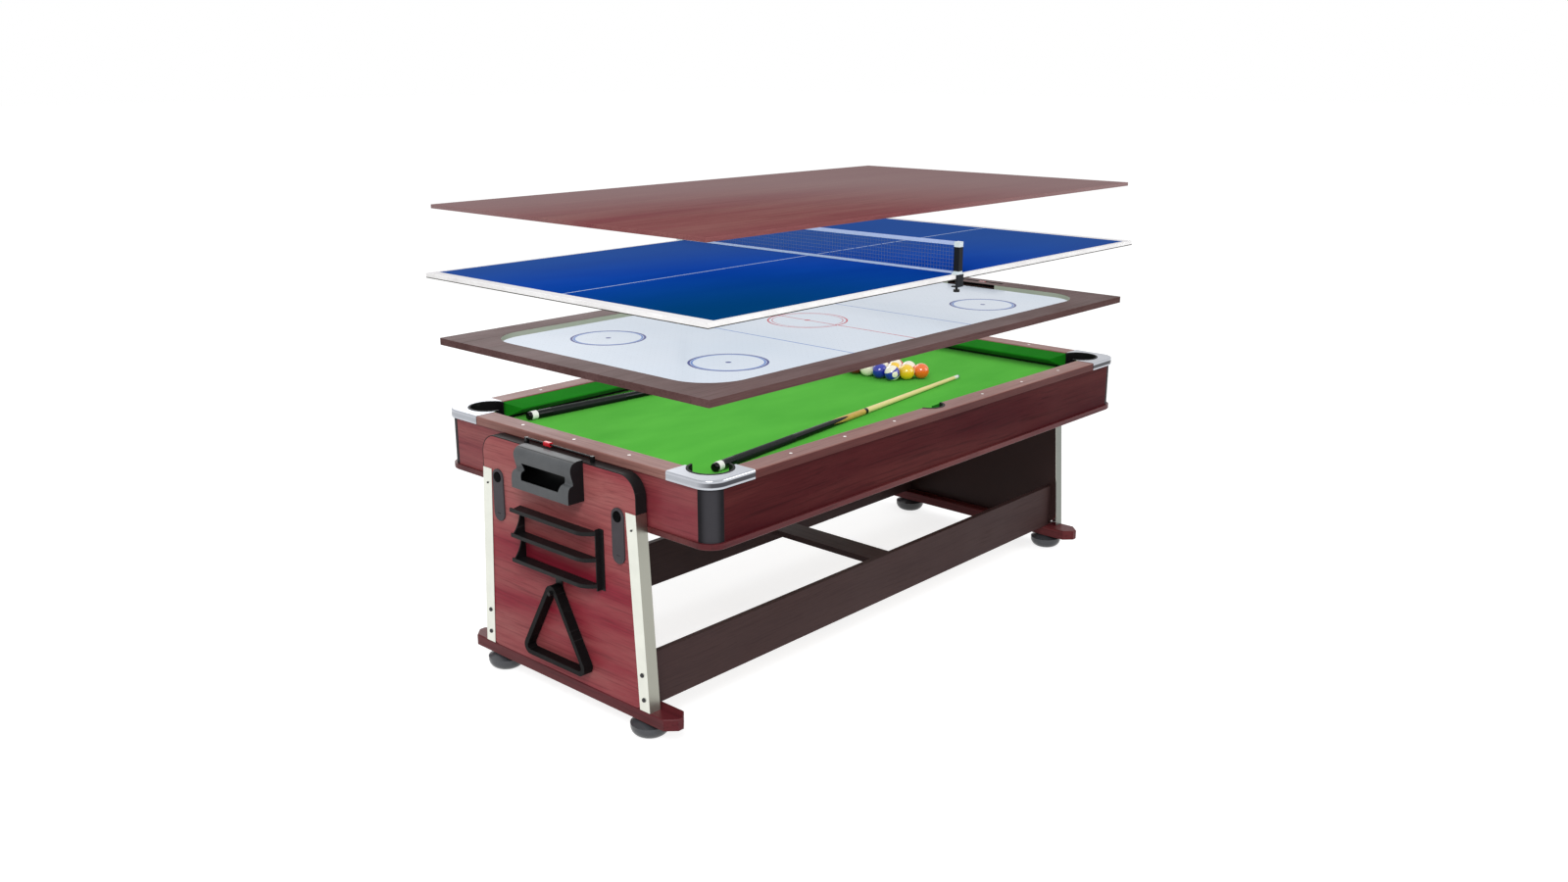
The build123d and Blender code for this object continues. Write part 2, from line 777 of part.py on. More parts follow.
# Corner caps: cast corners that bridge the rails round the corner pockets
with BuildPart() as corner_caps:
    along = cap_length + cap_proud
    across = rail_width + cap_proud
    for end in ends.values():
        for side in sides.values():
            outer_x = end * (half_length + cap_proud)
            outer_y = side * (half_width + cap_proud)
            with BuildSketch(Plane.XY.offset(apron_top)) as cap_plan:
                with Locations((outer_x - end * along / 2, outer_y - side * across / 2)):
                    Rectangle(along, across)
                with Locations((outer_x - end * across / 2, outer_y - side * along / 2)):
                    Rectangle(across, along)
                corner = cap_plan.vertices().sort_by(lambda v: abs(v.X) + abs(v.Y))[-1]
                fillet(corner, post_radius + apron_inset + cap_proud)
            extrude(amount=rail_top_thickness + cap_proud)
    top_edges = corner_caps.edges().group_by(Axis.Z)[-1]
    outer_edges = [
        edge for edge in top_edges
        if edge.geom_type == GeomType.CIRCLE
        or abs(edge.center().X) > half_length
        or abs(edge.center().Y) > half_width
    ]
    fillet(outer_edges, cap_edge_radius)
    with BuildSketch(Plane.XY.offset(apron_top)):
        with Locations(*corner_spots):
            Circle(corner_pocket_radius)
    extrude(amount=rail_top_thickness + cap_proud, mode=Mode.SUBTRACT)
save(corner_caps, "corner_caps")


# Pocket liners: collars open towards the bed, with a thin rim on top
def open_ring(turn, half_angle, inner, outer):
    """Face of a ring that spans an angle to either side of a direction."""
    with BuildLine() as outline:
        outer_arc = CenterArc((0, 0), outer, turn - half_angle, 2 * half_angle)
        inner_arc = CenterArc((0, 0), inner, turn - half_angle, 2 * half_angle)
        Line(outer_arc @ 0, inner_arc @ 0)
        Line(outer_arc @ 1, inner_arc @ 1)
    return make_face(outline.line)


with BuildPart() as pocket_liners:
    for places, hole_radius, half_angle, rim_base in (
        (corner_pockets, corner_pocket_radius, corner_liner_angle, table_height + cap_proud),
        (side_pockets, side_pocket_radius, side_liner_angle, table_height),
    ):
        liner_outer = hole_radius - seat_gap
        liner_inner = liner_outer - liner_wall
        for x, y, turn in places:
            with BuildSketch(Plane(origin=(x, y, cloth_top))):
                open_ring(turn, half_angle, liner_inner, liner_outer)
            extrude(amount=rim_base - cloth_top)
            with BuildSketch(Plane(origin=(x, y, rim_base))):
                open_ring(turn, half_angle, liner_inner, liner_outer + liner_rim_width)
            extrude(amount=liner_rim_thickness)
save(pocket_liners, "pocket_liners")

# Pocket cups: round buckets below the bed's notches
cup_top = bed_top - seat_gap
with BuildPart() as pocket_cups:
    for spots, cup_radius in cup_sizes:
        with BuildSketch(Plane.XY.offset(cup_top)):
            with Locations(*spots):
                Circle(cup_radius)
        extrude(amount=-cup_depth)
        with BuildSketch(Plane.XY.offset(cup_top)):
            with Locations(*spots):
                Circle(cup_radius - cup_wall)
        extrude(amount=cup_wall - cup_depth, mode=Mode.SUBTRACT)
save(pocket_cups, "pocket_cups")


# Cushions: rubber noses along the rails, mitred at the pockets
cushion_profile = [
    (0, cushion_foot_height), (cushion_foot_depth, cushion_foot_height),
    (cushion_depth, cushion_nose_height - cushion_nose_thickness), (cushion_depth, cushion_nose_height),
    (0, play_depth - cushion_top_drop),
]
corner_cut = corner_mouth / sqrt(2)
end_nose = nose_y - corner_cut
long_nose = nose_x - corner_cut
corner_end = (long_nose + cushion_depth, long_nose)
middle_end = (side_mouth_back / 2, side_mouth / 2)


def reverse_end(place):
    """The same end of a cushion on the other side of the middle."""
    return (-place[0], -place[1])


# Each cushion as its rail's plane and, for either end, where its back and its nose stop along the rail
cushion_runs = []
for end in ends.values():
    rail_plane = Plane(origin=(end * rail_inner_x, 0, cloth_top), x_dir=(0, end, 0), z_dir=(0, 0, 1))
    stop_place = (end_nose + cushion_depth, end_nose)
    cushion_runs.append((rail_plane, reverse_end(stop_place), stop_place))
for side in sides.values():
    rail_plane = Plane(origin=(0, side * rail_inner_y, cloth_top), x_dir=(-side, 0, 0), z_dir=(0, 0, 1))
    cushion_runs.append((rail_plane, middle_end, corner_end))
    cushion_runs.append((rail_plane, reverse_end(corner_end), reverse_end(middle_end)))

with BuildPart() as cushions:
    for rail_plane, first, last in cushion_runs:
        start = rail_plane.from_local_coords((first[0], 0, 0))
        with BuildSketch(Plane(origin=start, x_dir=rail_plane.y_dir, z_dir=rail_plane.x_dir)):
            with BuildLine():
                Polyline(*cushion_profile, close=True)
            make_face()
        extrude(amount=last[0] - first[0])
    for rail_plane, first, last in cushion_runs:
        with BuildSketch(rail_plane):
            for back, nose in (first, last):
                with BuildLine():
                    Polyline((back, 0), (nose, cushion_depth), (back, cushion_depth), close=True)
                make_face()
        extrude(amount=play_depth, mode=Mode.SUBTRACT)
save(cushions, "cushions")


# Cues: tapered sticks that lie on the cloth
def cue_plane(butt, rise):
    """Plane whose x direction runs from a cue's butt centre to the centre of its tip on the cloth."""
    run = sqrt(cue_length ** 2 - rise ** 2 - (cue_butt_radius - cue_tip_radius) ** 2)
    along = Vector(run, rise, cue_tip_radius - cue_butt_radius)
    return Plane(
        origin=(butt[0], butt[1], cloth_top + seat_gap + cue_butt_radius),
        x_dir=along, z_dir=Vector(rise, -run, 0),
    )


front_cue_butt = (front_cue_end_gap - nose_x, front_cue_side_gap - nose_y)
back_cue_butt = (back_cue_end_gap - nose_x, nose_y - back_cue_side_gap)
for piece_name, butt, rise in (
    ("cue_front", front_cue_butt, front_cue_rise), ("cue_back", back_cue_butt, back_cue_rise)
):
    lie = cue_plane(butt, rise)
    with BuildPart() as cue:
        with BuildSketch(lie):
            with BuildLine():
                Polyline(
                    (0, 0), (0, cue_butt_radius - cue_end_round), (cue_end_round, cue_butt_radius),
                    (cue_length - cue_end_round, cue_tip_radius), (cue_length, cue_tip_radius - cue_end_round),
                    (cue_length, 0), close=True,
                )
            make_face()
        revolve(axis=Axis(lie.origin, lie.x_dir))
    save(cue, piece_name)

# Object balls, in three rows across the table, each half a ball nearer to the front than the row before
ball_step = 2 * ball_radius + seat_gap
row_step = ball_step * sqrt(3) / 2
first_row_x = ball_row_share * nose_x
middle_place = (balls_in_row - 1) / 2
ball_places = [
    (first_row_x + row * row_step, ball_side_shift + (place - middle_place - row / 2) * ball_step,
     cloth_top + seat_gap + ball_radius)
    for row in range(ball_rows) for place in range(balls_in_row)
]
with BuildPart() as object_balls:
    with Locations(*ball_places):
        Sphere(ball_radius)
save(object_balls, "object_balls")

# Air hockey top: a border with rounded inner corners round a sunk field
hockey_bottom = table_height + hockey_lift
hockey_height = hockey_bottom + hockey_thickness
field_top = hockey_bottom + field_thickness
field_length = table_length - 2 * hockey_border
field_width = table_width - 2 * hockey_border
counter_x = half_length - counter_edge
with BuildPart() as hockey_frame:
    with BuildSketch(Plane.XY.offset(hockey_bottom)):
        RectangleRounded(table_length, table_width, top_corner_radius)
        RectangleRounded(field_length, field_width, hockey_corner_radius, mode=Mode.SUBTRACT)
    extrude(amount=hockey_thickness)
    with BuildSketch(Plane.XY.offset(field_top)):
        for end in ends.values():
            with Locations((end * (field_length / 2 + hockey_goal_depth / 2 - cut_overrun / 2), 0)):
                Rectangle(hockey_goal_depth + cut_overrun, hockey_goal_width)
    extrude(amount=hockey_thickness, mode=Mode.SUBTRACT)
    with BuildSketch(Plane.XY.offset(hockey_height - counter_depth)):
        with Locations((counter_x, 0)):
            Rectangle(counter_width, counter_length)
    extrude(amount=counter_depth + cut_overrun, mode=Mode.SUBTRACT)
save(hockey_frame, "hockey_frame")

with BuildPart() as hockey_field:
    with BuildSketch(Plane.XY.offset(hockey_bottom)):
        RectangleRounded(field_length - 2 * running_gap, field_width - 2 * running_gap, hockey_corner_radius)
    extrude(amount=field_thickness)
save(hockey_field, "hockey_field")

# Goals of the air hockey top: low boxes let into the border, open towards the field
goal_rise = hockey_height - field_top
with BuildPart() as hockey_goals:
    for end in ends.values():
        centre = (end * (field_length + hockey_goal_depth) / 2, 0)
        with BuildSketch(Plane.XY.offset(field_top)):
            with Locations(centre):
                Rectangle(hockey_goal_depth, hockey_goal_width)
        extrude(amount=goal_rise)
        with BuildSketch(Plane.XY.offset(field_top + hockey_goal_wall)):
            with Locations((centre[0] - end * (hockey_goal_wall + cut_overrun) / 2, 0)):
                Rectangle(
                    hockey_goal_depth - hockey_goal_wall + cut_overrun, hockey_goal_width - 2 * hockey_goal_wall
                )
        extrude(amount=goal_rise - 2 * hockey_goal_wall, mode=Mode.SUBTRACT)
save(hockey_goals, "hockey_goals")

# Score counter of the air hockey top: a channel let into the border, with a slider in it
with BuildPart() as hockey_scorer:
    with BuildSketch(Plane.XY.offset(hockey_height - counter_depth)):
        with Locations((counter_x, 0)):
            Rectangle(counter_width, counter_length)
    extrude(amount=counter_depth)
    with BuildSketch(Plane.XY.offset(hockey_height - counter_depth + counter_wall)):
        with Locations((counter_x, 0)):
            Rectangle(counter_width - 2 * counter_wall, counter_length - 2 * counter_wall)
    extrude(amount=counter_depth, mode=Mode.SUBTRACT)
save(hockey_scorer, "hockey_scorer")

with BuildPart() as hockey_score_slider:
    slider_bottom = hockey_height - counter_depth + counter_wall + running_gap
    with BuildSketch(Plane.XY.offset(slider_bottom)):
        with Locations((counter_x, counter_slider_place)):
            Rectangle(counter_width - 2 * counter_wall - 2 * running_gap, counter_slider_length)
    extrude(amount=hockey_height - slider_bottom - running_gap)
save(hockey_score_slider, "hockey_score_slider")

# Tennis top: a board with a light edging strip all round
tennis_bottom = hockey_height + tennis_lift
tennis_height = tennis_bottom + tennis_thickness
with BuildPart() as tennis_board:
    with BuildSketch(Plane.XY.offset(tennis_bottom)):
        Rectangle(tennis_length - 2 * tennis_edge, tennis_width - 2 * tennis_edge)
    extrude(amount=tennis_thickness)
save(tennis_board, "tennis_board")

with BuildPart() as tennis_edging:
    with BuildSketch(Plane.XY.offset(tennis_bottom)):
        Rectangle(tennis_length, tennis_width)
        Rectangle(tennis_length - 2 * tennis_edge, tennis_width - 2 * tennis_edge, mode=Mode.SUBTRACT)
    extrude(amount=tennis_thickness)
save(tennis_edging, "tennis_edging")

# Net: one holed sheet with a tape along its top edge, stretched between the posts
tennis_edge_y = tennis_width / 2
post_centre_y = tennis_edge_y - net_post_inset
net_span = 2 * post_centre_y - net_post_size
net_bottom = tennis_height + clamp_plate
mesh_height = net_height - clamp_plate - net_tape_width
with BuildPart() as net:
    with BuildSketch(Plane.YZ.offset(-net_thickness / 2)):
        with Locations((0, net_bottom + mesh_height / 2)):
            Rectangle(net_span, mesh_height)
            column = net_span / net_columns
            row = mesh_height / net_rows
            with GridLocations(column, row, net_columns, net_rows):
                Rectangle(column - net_strand, row - net_strand, mode=Mode.SUBTRACT)
    extrude(amount=net_thickness)
    with BuildSketch(Plane.YZ.offset(-net_tape_thickness / 2)):
        with Locations((0, net_bottom + mesh_height + net_tape_width / 2)):
            Rectangle(net_span, net_tape_width)
    extrude(amount=net_tape_thickness)
save(net, "net")

# Net posts with the clamps that grip the edge of the tennis top
jaw_inner_y = tennis_edge_y - clamp_reach
clamp_outer_y = tennis_edge_y + clamp_plate
jaw_top = tennis_bottom - clamp_drop
screw_y = tennis_edge_y - clamp_reach / 2
with BuildPart() as net_posts:
    for side in sides.values():
        with BuildSketch(Plane.XY.offset(tennis_height)):
            with Locations((0, side * post_centre_y)):
                Rectangle(net_post_size, net_post_size)
        extrude(amount=net_height)
        with BuildSketch(Plane.YZ.offset(-clamp_width / 2)):
            with BuildLine():
                Polyline(
                    (side * jaw_inner_y, tennis_height), (side * tennis_edge_y, tennis_height),
                    (side * tennis_edge_y, jaw_top + clamp_plate), (side * jaw_inner_y, jaw_top + clamp_plate),
                    (side * jaw_inner_y, jaw_top), (side * clamp_outer_y, jaw_top),
                    (side * clamp_outer_y, tennis_height + clamp_plate),
                    (side * jaw_inner_y, tennis_height + clamp_plate), close=True,
                )
            make_face()
        extrude(amount=clamp_width)
        with BuildSketch(Plane.XY.offset(jaw_top - cut_overrun)):
            with Locations((0, side * screw_y)):
                Circle(clamp_screw_radius + running_gap)
        extrude(amount=clamp_plate + 2 * cut_overrun, mode=Mode.SUBTRACT)
save(net_posts, "net_posts")

# Clamp screws: thumbscrews that press up under the edge of the tennis top
for side_name, side in sides.items():
    with BuildPart() as clamp_screw:
        pad_top = tennis_bottom - seat_gap
        screw_bottom = jaw_top - clamp_screw_drop
        with BuildSketch(Plane.XY.offset(screw_bottom)):
            with Locations((0, side * screw_y)):
                Circle(clamp_screw_radius)
        extrude(amount=pad_top - screw_bottom)
        with BuildSketch(Plane.XY.offset(pad_top)):
            with Locations((0, side * screw_y)):
                Circle(clamp_pad_radius)
        extrude(amount=-clamp_pad_height)
        with BuildSketch(Plane.XY.offset(screw_bottom)):
            with Locations((0, side * screw_y)):
                Circle(clamp_knob_radius)
        extrude(amount=-clamp_knob_height)
    save(clamp_screw, f"net_clamp_screw_{side_name}")

# Dining top: a plain board
with BuildPart() as dining_board:
    with BuildSketch(Plane.XY.offset(tennis_height + dining_lift)):
        RectangleRounded(table_length, table_width, top_corner_radius)
    extrude(amount=dining_thickness)
    chamfer(dining_board.faces().sort_by(Axis.Z)[-1].edges(), top_corner_radius / 2)
save(dining_board, "dining_board")
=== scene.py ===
# Multi game table: the looks of a pool table with an air hockey top, a tennis top and a dining top lifted off it
import math

import bmesh
import bpy
import numpy as np
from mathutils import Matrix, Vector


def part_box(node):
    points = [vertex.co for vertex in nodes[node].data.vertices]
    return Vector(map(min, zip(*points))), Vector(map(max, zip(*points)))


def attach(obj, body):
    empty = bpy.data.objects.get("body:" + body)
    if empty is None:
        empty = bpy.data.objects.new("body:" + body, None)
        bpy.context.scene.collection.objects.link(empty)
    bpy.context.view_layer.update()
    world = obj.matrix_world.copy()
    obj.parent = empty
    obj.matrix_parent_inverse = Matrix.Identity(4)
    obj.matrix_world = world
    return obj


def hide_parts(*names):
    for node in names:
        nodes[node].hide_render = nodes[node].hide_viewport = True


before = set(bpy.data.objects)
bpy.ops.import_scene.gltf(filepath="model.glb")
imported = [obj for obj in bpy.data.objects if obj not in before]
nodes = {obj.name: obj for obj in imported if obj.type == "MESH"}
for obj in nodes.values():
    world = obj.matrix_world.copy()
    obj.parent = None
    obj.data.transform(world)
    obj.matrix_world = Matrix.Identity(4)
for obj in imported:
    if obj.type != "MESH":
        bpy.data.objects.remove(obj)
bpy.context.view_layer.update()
clothTop = 0.750  # height of the playing cloth
print("frame loaded:", len(nodes), "nodes")


# Helpers for colours and node trees
def tone(red, green, blue):
    # A screen colour as a linear one: c / 12.92 where c is small, else ((c + 0.055) / 1.055) to the power 2.4
    screen = np.array([red, green, blue]) / 255
    linear = np.where(screen <= 0.04045, screen / 12.92, ((screen + 0.055) / 1.055) ** 2.4)
    return (*linear.tolist(), 1.0)


def toneList(screens):
    return [tone(*screen) for screen in screens]


def put(tree, kind, inputs=None, **settings):
    # A new node with its settings, and with a value or another node's output on each named input
    node = tree.nodes.new(kind)
    for key, value in settings.items():
        setattr(node, key, value)
    for key, value in (inputs or {}).items():
        if isinstance(value, bpy.types.NodeSocket):
            tree.links.new(value, node.inputs[key])
        else:
            node.inputs[key].default_value = value
    return node


def join(kind, inputs, **settings):
    # The outputs of a new node in the tree that its inputs come from
    tree = next(value.id_data for value in inputs.values() if isinstance(value, bpy.types.NodeSocket))
    return put(tree, kind, inputs, **settings).outputs


def calc(how, *values):
    return join("ShaderNodeMath", dict(enumerate(values)), operation=how)[0]


def times(first, second):
    return calc("MULTIPLY", first, second)


def plus(first, second):
    return calc("ADD", first, second)


def minus(first, second):
    return calc("SUBTRACT", first, second)


def larger(first, second):
    return calc("MAXIMUM", first, second)


def smaller(first, second):
    return calc("MINIMUM", first, second)


def absolute(value):
    return calc("ABSOLUTE", value)


def calcVector(how, *values):
    # A vector, or a number for a length or a distance
    outputs = join("ShaderNodeVectorMath", dict(enumerate(values)), operation=how)
    return outputs[1 if how in ("LENGTH", "DISTANCE") else 0]


def stretched(vector, factors):
    return calcVector("MULTIPLY", vector, factors)


def scaled(vector, factor):
    return join("ShaderNodeVectorMath", {0: vector, "Scale": factor}, operation="SCALE")[0]


def blend(share, first, second, how="MIX"):
    return join("ShaderNodeMix", {0: share, 6: first, 7: second}, data_type="RGBA", blend_type=how)[2]


def spread(value, low, high, newLow=0.0, newHigh=1.0, smooth=False):
    # A value's range from low to high, moved to another range and held there
    kind = "SMOOTHSTEP" if smooth else "LINEAR"
    inputs = {0: value, 1: low, 2: high, 3: newLow, 4: newHigh}
    return join("ShaderNodeMapRange", inputs, interpolation_type=kind)[0]


def step(value, start, soft=0.0005):
    # 0 up to the start and 1 beyond its soft rim; with a negative rim, 0 above the start and 1 below the rim
    return spread(value, start, start + soft)


def noise(vector, scale, detail=2.0, rough=0.5):
    return join("ShaderNodeTexNoise", {"Vector": vector, "Scale": scale, "Detail": detail, "Roughness": rough})[0]


def split(vector):
    return join("ShaderNodeSeparateXYZ", {0: vector})


def objectPlace(tree):
    return put(tree, "ShaderNodeTexCoord").outputs["Object"]


def normalParts(tree):
    return split(put(tree, "ShaderNodeTexCoord").outputs["Normal"])


def attribute(tree, name, kind="Fac"):
    return put(tree, "ShaderNodeAttribute", attribute_name=name).outputs[kind]


def newGroup(name, outputs, **inputs):
    # An empty node group: its outputs are numbers, and each input has its kind
    group = bpy.data.node_groups.new(name, "ShaderNodeTree")
    for socketName, kind in inputs.items():
        group.interface.new_socket(socketName, in_out="INPUT", socket_type="NodeSocket" + kind)
    for socketName in outputs:
        group.interface.new_socket(socketName, in_out="OUTPUT", socket_type="NodeSocketFloat")
    return group, group.nodes.new("NodeGroupInput").outputs, group.nodes.new("NodeGroupOutput").inputs


def send(result, **values):
    # Links values to a group's outputs of the same names
    for key, value in values.items():
        value.id_data.links.new(value, result[key])


def useGroup(group, **inputs):
    return join("ShaderNodeGroup", inputs, node_tree=group)


def emptyTree(owner):
    owner.use_nodes = True
    owner.node_tree.nodes.clear()
    return owner.node_tree


def newMaterial(name, **plain):
    # A material with one Principled shader, whose named inputs take the plain values
    material = bpy.data.materials.new(name)
    tree = emptyTree(material)
    shader = put(tree, "ShaderNodeBsdfPrincipled", {key.replace("_", " "): value for key, value in plain.items()})
    put(tree, "ShaderNodeOutputMaterial", {"Surface": shader.outputs[0]})
    return material, tree, shader


def feed(shader, colour, roughness=None, height=None, bump=0.2, depth=0.001):
    # Links a colour, a roughness and a height to the shader, the height through a Bump node
    links = shader.id_data.links
    links.new(colour, shader.inputs["Base Color"])
    if roughness is not None:
        links.new(roughness, shader.inputs["Roughness"])
    if height is not None:
        bumped = join("ShaderNodeBump", {"Strength": bump, "Distance": depth, "Height": height})[0]
        links.new(bumped, shader.inputs["Normal"])


# Shared surface effects
grainStretch = {"bend": (1.2, 3.5, 3.5), "figure": (0.9, 7, 7), "streaks": (3.2, 150, 150),
                "fibres": (22, 780, 780)}


def makeLaminateGrain(stretch):
    # Noise drawn out along X in three widths: broad figure, dark streaks and fine fibres
    group, given, result = newGroup("laminateGrain", ("Figure", "Streaks", "Fibres", "Height"),
                                    Place="Vector", Size="Float")
    sized = scaled(given["Place"], given["Size"])
    bend = times(noise(stretched(sized, stretch["bend"]), 1.0, 2.0), 0.05)
    bent = calcVector("ADD", sized, join("ShaderNodeCombineXYZ", {1: bend, 2: bend})[0])
    figure = spread(noise(stretched(bent, stretch["figure"]), 1.0, 4.0, 0.55), 0.34, 0.64)
    streaks = spread(noise(stretched(bent, stretch["streaks"]), 1.0, 3.0, 0.62), 0.46, 0.74, smooth=True)
    fibres = noise(stretched(bent, stretch["fibres"]), 1.0, 2.0)
    send(result, Figure=figure, Streaks=streaks, Fibres=spread(fibres, 0.3, 0.7),
         Height=minus(times(fibres, 0.6), times(streaks, 0.4)))
    return group


def makeEdgeRub():
    # Rubbed edges of a board: the middle one of the three distances to the faces of its box, small near an edge
    group, given, result = newGroup("edgeRub", ("Rub",), Place="Vector", Low="Vector", High="Vector", Width="Float")
    x, y, z = split(calcVector("MINIMUM", calcVector("SUBTRACT", given["Place"], given["Low"]),
                               calcVector("SUBTRACT", given["High"], given["Place"])))
    least = smaller(smaller(x, y), z)
    most = larger(larger(x, y), z)
    middle = minus(minus(plus(plus(x, y), z), least), most)
    uneven = spread(noise(given["Place"], 38.0, 3.0), 0.35, 0.7, 0.2, 1.0)
    close = minus(1.0, calc("DIVIDE", middle, given["Width"]))
    send(result, Rub=times(larger(close, 0.0), uneven))
    return group


def makeHandling():
    # Faint cloudy patches and thin hairlines, as on a surface that hands and cloths have wiped
    group, given, result = newGroup("handling", ("Smudge", "Hairlines"), Place="Vector", Size="Float")
    sized = scaled(given["Place"], given["Size"])
    lines = noise(stretched(sized, (3, 160, 40)), 1.0, 2.0)
    send(result, Smudge=spread(noise(sized, 3.2, 3.0, 0.6), 0.38, 0.68), Hairlines=spread(lines, 0.66, 0.74))
    return group


def makeMouldedSkin():
    # The pebbled skin of moulded plastic and rubber: cells a fraction of a millimetre wide, and soft unevenness
    group, given, result = newGroup("mouldedSkin", ("Height", "Uneven"), Place="Vector", Grain="Float")
    cells = join("ShaderNodeTexVoronoi", {"Vector": given["Place"], "Scale": given["Grain"]}, feature="SMOOTH_F1")
    send(result, Height=cells[0], Uneven=spread(noise(given["Place"], 14.0, 4.0, 0.6), 0.35, 0.65))
    return group


def makeWeave(first, second, firstCount, secondCount):
    # Crossed threads: sin(first count * first place) * sin(second count * second place)
    return times(calc("SINE", times(first, firstCount)), calc("SINE", times(second, secondCount)))


def makeClothNap():
    # Playing cloth: a fine weave of two crossed waves under short fibres, with slow lighter and darker sweeps
    group, given, result = newGroup("clothNap", ("Tint", "Fibre", "Height"), Place="Vector")
    x, y, z = split(given["Place"])
    weave = makeWeave(plus(x, z), plus(y, z), 5200.0, 5200.0)
    fibre = noise(stretched(given["Place"], (1, 2.2, 1)), 900.0, 3.0, 0.7)
    sweep = noise(stretched(given["Place"], (1.0, 2.4, 1.0)), 2.6, 3.0, 0.55)
    send(result, Tint=spread(sweep, 0.3, 0.7), Fibre=fibre, Height=plus(times(weave, 0.25), fibre))
    return group


def sendLine(result, value, middle, width, rim=0.0006):
    # A printed line: 1 within half its width of the middle value, with a soft rim
    past = minus(absolute(minus(value, middle)), times(width, 0.5))
    send(result, Mask=spread(past, rim, -rim))


def makeStrip():
    group, given, result = newGroup("printedStrip", ("Mask",), Value="Float", Middle="Float", Width="Float")
    sendLine(result, given["Value"], given["Middle"], given["Width"])
    return group


def makeRing():
    # A printed line at the radius from a centre seen from above
    group, given, result = newGroup("printedRing", ("Mask",), Place="Vector", Centre="Vector", Radius="Float",
                                    Width="Float")
    flat = stretched(calcVector("SUBTRACT", given["Place"], given["Centre"]), (1, 1, 0))
    sendLine(result, calcVector("LENGTH", flat), given["Radius"], given["Width"])
    return group


laminateGrain = makeLaminateGrain(grainStretch)
edgeRub = makeEdgeRub()
handling = makeHandling()
mouldedSkin = makeMouldedSkin()
clothNap = makeClothNap()
printedStrip = makeStrip()
printedRing = makeRing()
print("surface effects ready")


# Camera, floor and lights
camera = {"place": (-3.425, -3.005, 1.875), "yaw": -47.73, "pitch": 15.75, "lens": 31.04}
light = {"sky": 0.56, "backdrop": 1.0, "floorTone": (0.7, 0.7, 0.7, 1), "floorSeenTone": (0.42, 0.42, 0.42, 1),
         "floorGlow": 0.8, "floorHalf": 60}
lamps = {  # place, aim, size and watts
    "keyLamp": ((-4.5, -3.2, 4.6), (0, 0, 0.7), 3.0, 250),
    "fillLamp": ((3.5, -5.0, 3.2), (0, 0, 0.7), 3.5, 110),
    "backLamp": ((2.0, 4.8, 3.6), (0, 0, 0.9), 3.0, 50),
}


def makeStage():
    lens = bpy.data.cameras.new("photoCamera")
    lens.lens = camera["lens"]
    lens.sensor_width = 36
    lens.clip_end = 200
    eye = bpy.data.objects.new("photoCamera", lens)
    eye.location = camera["place"]
    eye.rotation_euler = (math.radians(90 - camera["pitch"]), 0, math.radians(camera["yaw"]))
    bpy.context.collection.objects.link(eye)
    bpy.context.scene.camera = eye

    half = light["floorHalf"]
    corners = [(-half, -half, 0), (half, -half, 0), (half, half, 0), (-half, half, 0)]
    floorMesh = bpy.data.meshes.new("studioFloor")
    floorMesh.from_pydata(corners, [], [(0, 1, 2, 3)])
    floor = bpy.data.objects.new("studioFloor", floorMesh)
    bpy.context.collection.objects.link(floor)
    material = bpy.data.materials.new("studioFloor")
    tree = emptyTree(material)
    rays = put(tree, "ShaderNodeLightPath").outputs
    seen = larger(rays["Is Camera Ray"], rays["Is Glossy Ray"])
    matt = join("ShaderNodeBsdfDiffuse", {"Color": blend(seen, light["floorTone"], light["floorSeenTone"])})
    glow = join("ShaderNodeEmission", {"Color": (1, 1, 1, 1), "Strength": times(seen, light["floorGlow"])})
    both = join("ShaderNodeAddShader", {0: matt[0], 1: glow[0]})
    put(tree, "ShaderNodeOutputMaterial", {"Surface": both[0]})
    floorMesh.materials.append(material)

    world = bpy.data.worlds.new("studio")
    bpy.context.scene.world = world
    tree = emptyTree(world)
    rays = put(tree, "ShaderNodeLightPath").outputs
    seen = larger(larger(rays["Is Camera Ray"], rays["Is Glossy Ray"]), rays["Is Transmission Ray"])
    strength = spread(seen, 0.0, 1.0, light["sky"], light["backdrop"])
    sky = join("ShaderNodeBackground", {"Color": (1, 1, 1, 1), "Strength": strength})
    put(tree, "ShaderNodeOutputWorld", {"Surface": sky[0]})


def addLamp(name, place, aim, size, watts):
    lamp = bpy.data.lights.new(name, "AREA")
    lamp.shape = "DISK"
    lamp.size = size
    lamp.energy = watts
    holder = bpy.data.objects.new(name, lamp)
    holder.location = place
    direction = np.array(aim, float) - np.array(place, float)
    turn = math.atan2(direction[0], -direction[1])
    tilt = math.atan2(np.hypot(direction[0], direction[1]), -direction[2])
    holder.rotation_euler = (tilt, 0, turn + math.pi)
    bpy.context.collection.objects.link(holder)


makeStage()
for lampName, values in lamps.items():
    addLamp(lampName, *values)
bpy.context.scene.view_settings.view_transform = "Standard"

# The three tops float over the table like the layers of a diagram, so none of them darkens what lies under it
for nodeName in ("dining_board", "tennis_board", "tennis_edging", "hockey_frame", "hockey_field"):
    for rays in ("shadow", "diffuse", "glossy"):
        setattr(nodes[nodeName], "visible_" + rays, False)
print("stage ready")


